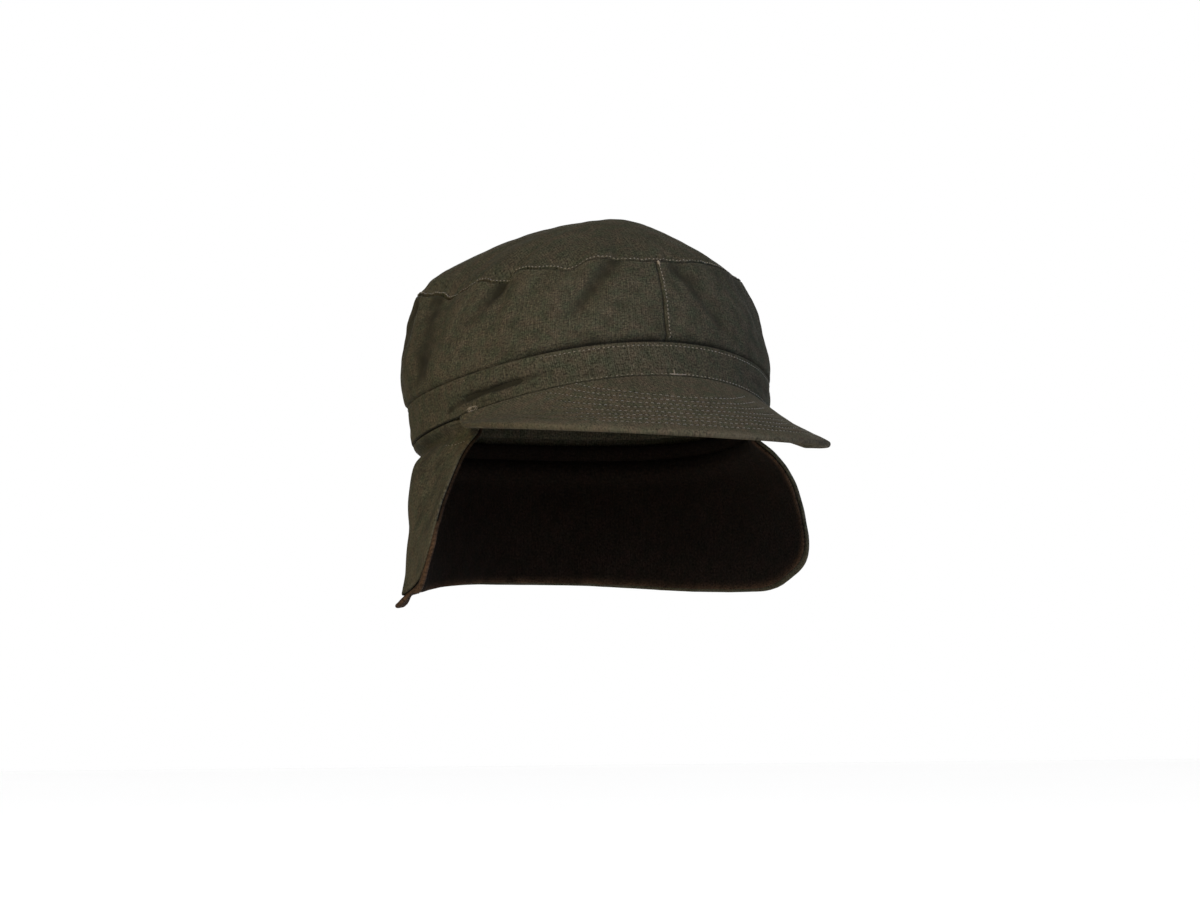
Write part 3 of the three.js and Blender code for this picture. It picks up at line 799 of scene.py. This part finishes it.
def finish_of(kind):
    """The slot and the material of a kind of cloth or thread, made when it is first asked for."""
    colours = bpy.context.scene.field_cap_colours
    # The rubbed colours serve both rubbed wear and painted highlight.
    rubbed_and_lit_shell, rubbed_and_lit_peak = shade(colours.shell, 1.5, 0.03), shade(colours.peak, 1.45, 0.03)
    slot, make, *values = {
        "olive_twill": ("shell_cloth", woven_cloth, colours.shell, rubbed_and_lit_shell, 0.85, 0.4),
        "peak_twill": ("peak_cloth", woven_cloth, colours.peak, rubbed_and_lit_peak, 0.85, 0.35),
        "brown_lining": ("lining_cloth", woven_cloth, colours.lining, (*colours.lining_edge, 1), 0.6, 0.5),
        "tan_thread": ("shell_cloth", sewing_thread, colours.thread),
        "peak_thread": ("peak_cloth", sewing_thread, shade(colours.thread, 0.66)),
        "tack_thread": ("shell_cloth", sewing_thread, colours.tack),
    }[kind]
    return slot, bpy.data.materials.get(kind) or make(kind, *values)


# Settings
def length_prop(name, description, default, smallest=0.0):
    return bpy.props.FloatProperty(
        name=name, description=description, default=default, min=smallest, unit="LENGTH", precision=5
    )


def colour_prop(name, description, default):
    return bpy.props.FloatVectorProperty(
        name=name, description=description, default=default, min=0, max=1, subtype="COLOR"
    )


class FieldCapSizes(bpy.types.PropertyGroup):
    """Sizes of the cap's stitching and rolled edges"""

    pitch: length_prop("Stitch Pitch", "From the start of one stitch to the next", 0.0023, 0.001)
    seam_pitch: length_prop("Seam Stitch Pitch", "Pitch of the stitches on the crown's seams", 0.0019, 0.001)
    peak_pitch: length_prop("Peak Stitch Pitch", "Pitch of the longer stitches on the peak", 0.0028, 0.001)
    thread: length_prop("Thread Width", "Width of the sewing thread", 0.00046, 0.0002)
    share: bpy.props.FloatProperty(
        name="Stitch Share",
        description="The part of the pitch that thread covers",
        default=0.56,
        min=0.2,
        max=0.95,
        subtype="FACTOR",
    )
    peak_rows: bpy.props.IntProperty(
        name="Peak Rows", description="How many rows of stitches run round the peak", default=8, min=0, max=12
    )
    peak_margin: length_prop("Peak Margin", "From the peak's edge to the first row of stitches", 0.0085)
    peak_spacing: length_prop("Peak Row Spacing", "Between two rows of stitches on the peak", 0.0053)
    lining_roll: length_prop("Lining Roll", "How far the lining rolls past the right flap's edge", 0.0019)


class FieldCapColours(bpy.types.PropertyGroup):
    """Colours of the cap's cloth and thread"""

    shell: colour_prop("Shell", "Olive cotton of the crown, the band and the flap", (0.0146, 0.0128, 0.0079))
    peak: colour_prop("Peak", "Olive cotton of the peak", (0.0184, 0.0155, 0.0096))
    # Lining is darker than the brown cloth, as painted shade over the inside of the flap; Lining Edge is the
    # lighter brown of its edges.
    lining: colour_prop("Lining", "Dark brown cotton inside the flap", (0.0030, 0.0020, 0.0014))
    lining_edge: colour_prop("Lining Edge", "Brown of the lining's rubbed edge", (0.0245, 0.0135, 0.0072))
    thread: colour_prop("Thread", "Tan sewing thread", (0.043, 0.0315, 0.0172))
    tack: colour_prop("Bar Tack", "Thread of the bar tacks", (0.054, 0.038, 0.0205))
    floor: colour_prop("Floor", "Pale studio floor", (0.97, 0.97, 0.97))


# Operators
class FIELDCAP_OT_crown_top(bpy.types.Operator):
    """Make the domed top of the crown with its welt and top stitching"""

    bl_idname = "field_cap.crown_top"
    bl_label = "Crown Top"

    def execute(self, context):
        a = np.linspace(0, 360, 481)[:-1]
        edge = 1 - 0.6 / TOP_REACH
        r = joined(np.linspace(0, 0.88, 36), np.linspace(0.88, edge, 19)[1:])
        grid_a, grid_r = np.meshgrid(a, r)
        outer, normal = with_normals(top_face, grid_a, grid_r, 0.3, 0.004, UP)
        outer[0], normal[0] = top_face(np.zeros(1), 0)[0], UP
        inner = outer - normal * CLOTH
        seam, up, out = top_edge(a)
        centre = top_face(a, edge) - up * EDGE_ROLL

        def rolled(t):
            """The line round the seam's rolled edge at an angle t from its upper side."""
            return centre + up * EDGE_ROLL * np.cos(t) + out * EDGE_ROLL * 1.1 * np.sin(t)

        foot, side = with_normals(wall_point, a, 1 - TOP_LIP / WALL_HEIGHT, 0.6, 0.01)
        ledge = seam + up * GAP - out * (CLOTH + GAP)
        outside = [rolled(t) for t in np.linspace(0.4, 3.0, 6)]
        outside += [ledge, foot - side * (CLOTH + GAP)]
        root = ledge - out * CLOTH - up * 0.6
        inside = [inner[-1] * (1 - t) + root * t for t in np.linspace(0.2, 1, 7)]
        inside.append(foot - side * (CLOTH + GAP + LIP_CLOTH))
        outer, inner = joined(outer, outside), joined(inner, inside)
        d = joined((1 - grid_r) * TOP_REACH, np.zeros((len(outside), len(a))))
        rubbed = 0.22 * bump((d - 1.2) / 1.6) * (0.6 + 0.4 * crumple(outer, 14, 51))
        wear_and_painted_light = rubbed + 0.14 * crumple(outer, 8, 63)
        cloth = joined(outer, outer[:, :1], axis=1)[..., :2]
        cloth_piece("crown_top", outer, inner, cloth, wear_and_painted_light, "olive_twill", True, True)
        work = ThreadWork()
        lean = 1.15
        path, n = rolled(lean), unit(up * np.cos(lean) + out * np.sin(lean))
        path, n = joined(path, path[:1]), joined(n, n[:1])
        deep = 0.2 * sum(bump(turn(np.append(a, 0), at) / wide) for at, wide in SEAM_HIDES)
        work.row(path, n, pitch=work.seam_pitch, sunk=deep)
        work.finish("crown_top_threads", "tan_thread")
        return {"FINISHED"}


class FIELDCAP_OT_crown_sides(bpy.types.Operator):
    """Make the crown's two side walls with their centre seams"""

    bl_idname = "field_cap.crown_sides"
    bl_label = "Crown Sides"

    def execute(self, context):
        v = joined(np.linspace(0, 0.9, 56), np.linspace(0.9, 1, 9)[1:])
        tucks = np.linspace(-WALL_TUCK, 0, 5)[:-1]
        inside = -BAND_THICK - GAP
        for side, start, end in (("left", 0.001, 179.999), ("right", -179.999, -0.001)):
            a = np.linspace(start, end, 300)
            grid_a, grid_v = np.meshgrid(a, v)
            outer, normal = with_normals(wall_face, grid_a, grid_v, *WALL_STEP)
            inner = outer - normal * CLOTH
            inner[0] = band_point(a, BAND_HEIGHT, inside - CLOTH)
            wear_and_painted_light = led(len(tucks), self.worn_and_painted_light(grid_a, grid_v, outer))
            outer = joined([band_point(a, BAND_HEIGHT + h, inside) for h in tucks], outer)
            inner = joined([band_point(a, BAND_HEIGHT + h, inside - CLOTH) for h in tucks], inner)
            cloth = cloth_grid(a * WALL_ROUND, joined(tucks, v * WALL_HEIGHT)[:, None])
            cloth_piece("crown_side_" + side, outer, inner, cloth, wear_and_painted_light, "olive_twill")
        work = ThreadWork()
        rise = np.linspace(0.035, 0.975, 120)
        for angle in (SEAM_ROW, SEAM_ROW - 180):
            work.sew(wall_face, angle, rise, *WALL_STEP, pitch=work.seam_pitch, share=0.66)
        work.finish("crown_side_threads", "tan_thread")
        return {"FINISHED"}

    def worn_and_painted_light(self, a, v, outer):
        """Rubbed seams, rubbed swells with painted highlight, painted shade in the folds, a painted shadow
        above the band's front, and painted shade at the wall's foot and in the front seam's groove.
        """
        away = np.abs(turn(a, 0)) * WALL_ROUND
        seams = 0.8 * bump((1 - v) * WALL_HEIGHT / 2.2) + 0.75 * bump((away - 1.6) / 1.4)
        worn_and_painted_light = 0.3 * np.clip(seams, 0, 1) * (0.55 + 0.45 * crumple(outer, 16, 52))
        height = wall_fold(a, v)
        # Lighter fold ridges are rubbed wear and painted highlight; sunken folds get painted shade.
        worn_and_painted_light += 0.2 * np.clip(height - 0.5, 0, 1) - 0.27 * np.clip(-height - 0.3, 0, 3)
        worn_and_painted_light += 0.22 * crumple(outer, 8, 57) - wall_fold(a, v, WALL_PAINTED_SHADES)
        # Painted shadow over the band's front, painted shade at the wall's foot and a painted shade line in
        # the front seam's groove.
        shaded = smooth(-44, -30, a) * smooth(30, 8, a)
        foot = 0.15 + 0.35 * past_temple(a)
        worn_and_painted_light -= 0.36 * shaded * bump((v - 0.03) / 0.09) + foot * bump(v * WALL_HEIGHT / 1.2)
        return worn_and_painted_light - 0.7 * bump(away / 0.6)


class FIELDCAP_OT_band(bpy.types.Operator):
    """Make the band round the crown with its stitched edges"""

    bl_idname = "field_cap.band"
    bl_label = "Band"

    def execute(self, context):
        a = np.linspace(0, 360, 541)
        near = np.array([0, 0.08, 0.25, 0.5, 0.8])
        h = joined(near, np.linspace(1.2, BAND_HEIGHT - 1.2, 22), BAND_HEIGHT - near[::-1])
        grid_a, grid_h = np.meshgrid(a[:-1], h)
        outer = band_face(grid_a, grid_h)
        inner = band_point(grid_a, grid_h, -BAND_THICK + 0.4 * rounded(grid_h, 0.8))
        edges = bump(grid_h / 1.3) + bump((BAND_HEIGHT - grid_h) / 1.6)
        creases = band_crease(grid_a, grid_h)
        # Rubbed edges, rubbed raised creases with painted highlight, and painted shade in the sunken creases
        # and along the band's foot.
        wear_and_painted_light = 0.5 * edges * (0.55 + 0.45 * crumple(outer, 15, 53)) + 0.25 * np.clip(creases, 0, 1)
        wear_and_painted_light -= 0.9 * np.clip(-creases - 0.2, 0, 1.1) + 0.7 * bump(grid_h / 0.35)
        wear_and_painted_light += 0.14 * crumple(outer, 7, 58)
        cloth = cloth_grid(a * BAND_ROUND, h[:, None])
        cloth_piece("band", outer, inner, cloth, wear_and_painted_light, "olive_twill", True)
        work = ThreadWork()
        for start, end, level in ((-180, 180, BAND_HEIGHT - BAND_ROW), (-40, 68, RIM_ROW)):
            around = np.linspace(start, end, 1441)
            sunk = 0.4 * smooth(-28, -52, around) + 0.12 * smooth(30, 50, around)
            work.sew(band_face, around, level, 0.2, 0.1, sunk=sunk)
        work.finish("band_threads", "tan_thread")
        return {"FINISHED"}


class FIELDCAP_OT_peak(bpy.types.Operator):
    """Make the stiff peak with its concentric rows of stitches"""

    bl_idname = "field_cap.peak"
    bl_label = "Peak"

    def execute(self, context):
        work = ThreadWork()
        size = work.size
        rows = size.peak_margin / MM + size.peak_spacing / MM * np.arange(size.peak_rows)
        ends = 1 - np.array([0, 0.0006, 0.002, 0.0045, 0.008])
        q = joined(-ends, np.linspace(-0.985, 0.985, 300), ends[::-1])
        near = 1 - np.array([0, 0.0015, 0.005, 0.012, 0.022])
        t = joined(np.linspace(0, 0.965, 104), near[::-1])
        grid_q, grid_t = np.meshgrid(q, t)
        middle = peak_point(grid_q, grid_t)
        inner_q, inner_t = np.clip(grid_q, -0.997, 0.997), np.clip(grid_t, 0.02, 0.98)
        up = outward(PEAK_END * grid_q) + UP
        _, normal = with_normals(peak_point, inner_q, inner_t, 0.003, 0.02, up)
        line = peak_point(np.linspace(-1, 1, 1201), 1)
        d, _ = nearest_on(middle, line)
        outline, foot = nearest_on(middle, line[180:-180])
        sewn = np.where(foot[..., 0] < 0, smooth(-95, -109, foot[..., 1]), smooth(-121, -133, foot[..., 1]))

        def sewn_rows(width):
            return sum(bump((outline - row) / width) for row in rows) * sewn

        thick = PEAK_THICK - 0.9 * smooth(0.8, 1, np.abs(grid_q))
        shut = np.sqrt(1 - np.clip(1 - d / 1.5, 0, 1) ** 2)
        shut = np.maximum(shut, smooth(0.06, 0.0, grid_t))
        relief = 0.2 * crumple(middle, 12, 61) * smooth(0, 6, outline) - 0.42 * sewn_rows(0.75)
        relief += 0.1 * pucker(grid_q * 120, 5.0, 62) * sewn_rows(2.2)
        relief = relief * smooth(0.03, 0.09, grid_t)
        level = 0.5 * thick * (smooth(0.5, 0.95, grid_t) - 1)
        tall = level + (0.5 * thick + relief) * shut
        deep = level - (0.5 * thick + 0.6 * relief) * shut
        top, bottom = moved(middle, normal, tall), moved(middle, normal, deep)
        tongue = 6.0 * smooth(60, 54, np.abs(PEAK_END * q))
        inside = -BAND_THICK - GAP
        heads, tails = [], []
        for share, drop in ((1.0, 0), (0.5, 0), (0.0, 0.8)):
            heads.append(band_point(PEAK_END * q, tongue * share - GAP, inside))
            tails.append(band_point(PEAK_END * q, tongue * share - GAP - drop, inside - CLOTH))
        outer, inner = joined(heads, top), joined(tails, bottom)
        plan = unit(outer[..., :2] - np.array([0, -PEAK_ROOT]))
        cloth = outer[..., :2] - plan * led(3, tall)[..., None]
        under = inner[..., :2] - plan * led(3, deep)[..., None]
        grooves, away = sewn_rows(1.1), smooth(60, 20, outline)
        # Rubbed edge, lighter cloth between the stitched rows and at the root, and painted shade in the
        # stitched grooves.
        worn_and_painted_light = 0.55 * bump((outline - 1.0) / 3.2) + 0.22 * np.clip(1 - grooves, 0, 1) * away
        worn_and_painted_light += 0.3 * bump((grid_t - 0.03) / 0.04)
        worn_and_painted_light = worn_and_painted_light * (0.6 + 0.4 * crumple(top, 18, 54)) - 0.3 * grooves * away
        cloth_piece("peak", outer, inner, cloth, led(3, worn_and_painted_light), "peak_twill", under=under)
        for row in rows:
            for face, way in ((top, 1), (bottom, -1)):
                path, n = self.row_on(face, np.where(sewn < 0.2, 1e3, outline), row, normal * way)
                if len(path) > 3:
                    hidden = 0.3 * smooth(-36, -66, path[:, 0]) + 0.18 * smooth(25, 62, path[:, 0])
                    work.row(path, n, pitch=size.peak_pitch / MM, share=0.62, slant=0.4, sunk=hidden)
        work.finish("peak_threads", "peak_thread")
        return {"FINISHED"}

    def row_on(self, face, outline, row, normal):
        """The line on a face of the peak that stays one distance from its edge."""
        path, normals = [], []
        for c in range(4, face.shape[1] - 4):
            down = outline[:, c]
            k = np.argmax(down < row)
            if k == 0 or down[k - 1] > 500:
                continue
            share = (down[k - 1] - row) / (down[k - 1] - down[k])
            path.append(face[k - 1, c] * (1 - share) + face[k, c] * share)
            normals.append(normal[k, c])
        return np.array(path), np.array(normals)


def flap_layer(grid_a, grid_h, thick, middle):
    """One layer of the flap, thick to each side of its middle surface, with rounded free edges."""
    away = outward(grid_a)
    _, normal = with_normals(flap_face, grid_a, np.maximum(grid_h, 0.5), 0.3, 0.4)
    normal = np.where((grid_h <= 0)[..., None], away, normal)
    core = moved(flap_face(grid_a, grid_h), normal, middle + 0 * grid_a)
    d, _ = nearest_on(core, joined(core[:, 0], core[-1, 1:-1], core[::-1, -1]))
    shut = np.sqrt(1 - np.clip(1 - d / thick, 0, 1) ** 2)
    shut = thick * np.maximum(shut, smooth(3, 0, grid_h))
    return moved(core, normal, shut), moved(core, normal, -shut), d


def tucked(a, grid_h, outer, inner, near, far):
    """The heights and faces of a layer of the flap, with two rows before them that go up inside the band."""
    heads = np.array([[-FLAP_TUCK], [-FLAP_TUCK / 2]])
    upper, lower = (moved(flap_point(a, heads), outward(a), -depth) for depth in (near, far))
    return joined(heads + 0 * a, grid_h), joined(upper, outer), joined(lower, inner)


class FIELDCAP_OT_flap(bpy.types.Operator):
    """Make the outer cloth of the ear and neck flap"""

    bl_idname = "field_cap.flap"
    bl_label = "Flap"

    def execute(self, context):
        near = np.array([0, 0.06, 0.16, 0.32, 0.55, 0.9])
        half = FLAP_FRONT + joined(near, np.linspace(1.4, 180 - FLAP_FRONT, 170))
        a = joined(half, -half[::-1][1:])
        share = joined(FLAP_HEAD, np.linspace(0.035, 0.985, 54), 1 - FLAP_HEM)
        grid_a, grid_s = np.meshgrid(a, share)
        grid_h = grid_s * flap_length(grid_a)
        outer, inner, d = flap_layer(grid_a, grid_h, 0.5 * CLOTH, -0.5 * CLOTH)
        # Rubbed edges, painted shade along the pinch and at the top under the band, uneven tone, and lighter
        # towards the hem.
        worn_and_painted_light = 0.6 * bump((d - 0.6) / 1.8) * (0.5 + 0.5 * crumple(outer, 13, 55))
        worn_and_painted_light -= 0.35 * bump((grid_h - 9) / 3.5) + 0.8 * bump(grid_h / 0.5)
        worn_and_painted_light += 0.3 * crumple(outer, 6, 59) + 0.26 * crumple(outer, 17, 60)
        worn_and_painted_light += 0.26 * smooth(46, 78, grid_h)
        heights, outer, inner = tucked(a, grid_h, outer, inner, 0, CLOTH)
        cloth = cloth_grid(joined(half, 360 - half[::-1][1:]) * FLAP_ROUND, -heights)
        piece = cloth_piece("flap", outer, inner, cloth, led(2, worn_and_painted_light), "olive_twill")
        work = ThreadWork()
        for side in (1, -1):
            around = side * np.linspace(FLAP_FRONT + 1.4, 180, 700)
            level = 7.2 + 5.2 * smooth(92, 70, np.abs(around))
            deep = 0.18 + 0.12 * smooth(74, 84, np.abs(around))
            work.sew(flap_face, around, level, 0.3, 0.3, share=0.5, sunk=deep)
        work.finish("flap_threads", "tan_thread")
        return {"FINISHED"}


class FIELDCAP_OT_lining(bpy.types.Operator):
    """Make the flap's dark lining, rolled past its edge on the wearer's right"""

    bl_idname = "field_cap.lining"
    bl_label = "Lining"

    def execute(self, context):
        roll = context.scene.field_cap_sizes.lining_roll / MM
        left_a, left_h = self.side(FLAP_FRONT + 0.9, 1, -1.6, 0)
        right_a, right_h = self.side(FLAP_FRONT - roll / 1.5, -1, 0.6, roll)
        grid_a = joined(left_a, right_a[:, ::-1][:, 1:], axis=1)
        grid_h = joined(left_h, right_h[:, ::-1][:, 1:], axis=1)
        near, far = CLOTH + GAP, CLOTH + GAP + LINING_THICK
        below = (grid_h - flap_length(grid_a)) / 1.6
        past = np.maximum(FLAP_FRONT + 0.1 - np.abs(grid_a), below) * (grid_a < 0)
        bead = smooth(0.35, 0.95, past) * (0.35 + 0.65 * smooth(30, 62, grid_h))
        thick = 0.5 * LINING_THICK + 0.45 * bead
        outer, inner, d = flap_layer(grid_a, grid_h, thick, 0.75 * bead - 0.5 * (near + far))
        # Lighter brown at the free edges and the rolled bead, less at the top of the wearer's right edge:
        # partly rubbed wear, partly the edge standing out of the painted shade inside the flap.
        rubbed = np.where(grid_a < 0, 0.25 + 0.75 * smooth(44, 66, grid_h), 1)
        worn_and_painted_light = rubbed * (0.85 * bump(d / 2.2) * (0.7 + 0.3 * crumple(outer, 9, 56)) + 0.4 * bead)
        heights, outer, inner = tucked(grid_a[0], grid_h, outer, inner, near, far)
        run = np.where(grid_a < 0, 360 + grid_a, grid_a) * FLAP_ROUND
        cloth = cloth_grid(joined(run[:1], run[:1], run), -heights)
        piece = cloth_piece("flap_lining", outer, inner, cloth, led(2, worn_and_painted_light), "brown_lining")
        return {"FINISHED"}

    def side(self, front, sign, longer, roll):
        """Angles and drops of one side of the lining, from its front edge to the back."""
        share = joined(FLAP_HEAD, np.linspace(0.035, 0.982, 50), 1 - FLAP_HEM)
        part = joined([0, 0.0005, 0.0014, 0.0028, 0.0048, 0.0078], np.linspace(0.012, 1, 130))
        grid_part, grid_share = np.meshgrid(part, share)
        start = front + (1.0 - 0.35 * smooth(0.12, 1.0, grid_share)) * (roll > 0)
        s = start + (180 - start) * grid_part
        tip = 4.0 * smooth(6.4, 3.6, np.abs(s - 90.4)) + 4.2 * smooth(67, 74, s) * smooth(85, 75, s)
        longer += (-1.2 - longer) * smooth(120, 175, s) + tip * (roll > 0)
        return sign * s, grid_share * (flap_length(sign * s, front) + longer)


class FIELDCAP_OT_bar_tacks(bpy.types.Operator):
    """Make the bar tacks at the peak's ends, at its middle and on the front seam"""

    bl_idname = "field_cap.bar_tacks"
    bl_label = "Bar Tacks"

    def execute(self, context):
        work = ThreadWork()
        for angle in (-TACK_AT, TACK_AT):
            for share in (1.0, 0.72, 0.44, 0.18):
                self.oval(work, angle, 0.95, 3.5 * share, 1.1 * share)
        self.on_band(work, 1.5, 0.8, (1, 0), 10.5, 1.0, 22)
        self.on_band(work, 1.2, 2.3, (0, 1), 2.8, 0.8, 6)
        a, v = np.array([0.9]), np.array([0.985])
        p, n = with_normals(wall_face, a, v, *WALL_STEP)
        along = wall_face(a, v + 0.01) - p
        work.tack(p[0], along[0], n[0], 2.2, 1.3, 6)
        work.finish("bar_tacks", "tack_thread")
        return {"FINISHED"}

    def oval(self, work, angle, level, long, high):
        """An oval of close stitches on the band, long and high being its half sizes."""
        t = np.linspace(0, 2 * np.pi, 73)
        around, level = angle + long * np.cos(t) / BAND_ROUND, level + high * np.sin(t)
        close = {"width": 0.85 * work.width, "pitch": 0.8, "share": 0.85, "slant": 0.5}
        work.sew(band_face, around, level, 0.3, 0.2, **close)

    def on_band(self, work, angle, level, way, length, across, count):
        a, h = np.array([angle]), np.array([level])
        p, n = with_normals(band_face, a, h, 0.3, 0.2)
        side = band_face(a + 0.3, h) - band_face(a - 0.3, h)
        rise = band_face(a, h + 0.2) - band_face(a, h - 0.2)
        along = unit(side[0]) * way[0] + unit(rise[0]) * way[1]
        work.tack(p[0], along, n[0], length, across, count)


class FIELDCAP_OT_stage(bpy.types.Operator):
    """Make the floor, the lights, the pale surroundings and the camera"""

    bl_idname = "field_cap.stage"
    bl_label = "Stage"

    def execute(self, context):
        self.floor(context.scene.field_cap_colours.floor)
        self.surroundings(context.scene)
        self.lamp("key_light", (-1.95, -1.75, 1.05), 0.9, 140, (1.0, 0.886, 0.589))
        self.lamp("fill_light", (0.0, -2.5, 0.8), 1.3, 130, (0.442, 0.605, 1.0))
        self.lamp("back_light", (1.1, 2.6, 0.35), 1.6, 70, (1.0, 0.95, 0.85))
        self.camera(context.scene)
        return {"FINISHED"}

    def floor(self, colour):
        mesh = bpy.data.meshes.new("floor")
        half, level = 9.0, -0.42
        corners = [(-half, -half, level), (half, -half, level), (half, half, level), (-half, half, level)]
        mesh.from_pydata(corners, [], [(0, 1, 2, 3)])
        mesh.materials.append(studio_floor("studio_floor", colour))
        placed("floor", mesh)

    def surroundings(self, scene):
        scene.world = bpy.data.worlds.new("studio")
        scene.world.use_nodes = True
        light = scene.world.node_tree.nodes["Background"]
        light.inputs["Color"].default_value = (1, 1, 1, 1)
        light.inputs["Strength"].default_value = 1.0
        scene.view_settings.view_transform = "Standard"

    def lamp(self, name, place, size, power, colour):
        light = bpy.data.lights.new(name, "AREA")
        light.size = size
        light.energy = power
        light.color = colour
        lamp = placed(name, light)
        lamp.location = place
        lamp.rotation_euler = (-Vector(place)).to_track_quat("-Z", "Y").to_euler()

    def camera(self, scene):
        turned, raised, distance = -21.48, -4.0, 1.6
        aside, lowered = 0.00505, 0.0107
        right = Vector((cos(turned), sin(turned), 0))
        back = Vector((sin(turned) * cos(raised), -cos(turned) * cos(raised), sin(raised)))
        up = back.cross(right)
        lens = bpy.data.cameras.new("camera")
        lens.sensor_width = 36
        lens.lens = 97.92
        lens.clip_start = 0.05
        camera = placed("camera", lens)
        place = back * distance + right * aside - up * lowered
        turn_to = Matrix((right, up, back)).transposed()
        camera.matrix_world = Matrix.Translation(place) @ turn_to.to_4x4()
        scene.camera = camera


class FIELDCAP_PT_panel(bpy.types.Panel):
    """Lists the cap's sizes and colours and the steps that build it"""

    bl_idname = "FIELDCAP_PT_panel"
    bl_label = "Field Cap"
    bl_space_type = "VIEW_3D"
    bl_region_type = "UI"
    bl_category = "Field Cap"

    def draw(self, context):
        layout = self.layout
        for group in (context.scene.field_cap_sizes, context.scene.field_cap_colours):
            box = layout.box()
            for name in group.__annotations__:
                box.prop(group, name)
        column = layout.column(align=True)
        for operator in OPERATORS:
            column.operator(operator.bl_idname)


OPERATORS = (
    FIELDCAP_OT_crown_top,
    FIELDCAP_OT_crown_sides,
    FIELDCAP_OT_band,
    FIELDCAP_OT_peak,
    FIELDCAP_OT_flap,
    FIELDCAP_OT_lining,
    FIELDCAP_OT_bar_tacks,
    FIELDCAP_OT_stage,
)
CLASSES = (FieldCapSizes, FieldCapColours, *OPERATORS, FIELDCAP_PT_panel)


def register():
    for cls in CLASSES:
        bpy.utils.register_class(cls)
    bpy.types.Scene.field_cap_sizes = bpy.props.PointerProperty(type=FieldCapSizes)
    bpy.types.Scene.field_cap_colours = bpy.props.PointerProperty(type=FieldCapColours)


def unregister():
    del bpy.types.Scene.field_cap_colours
    del bpy.types.Scene.field_cap_sizes
    for cls in reversed(CLASSES):
        bpy.utils.unregister_class(cls)


def main():
    register()
    bpy.ops.field_cap.stage()
    bpy.ops.field_cap.crown_top()
    bpy.ops.field_cap.crown_sides()
    bpy.ops.field_cap.band()
    bpy.ops.field_cap.peak()
    bpy.ops.field_cap.flap()
    bpy.ops.field_cap.lining()
    bpy.ops.field_cap.bar_tacks()


if __name__ == "__main__":
    main()
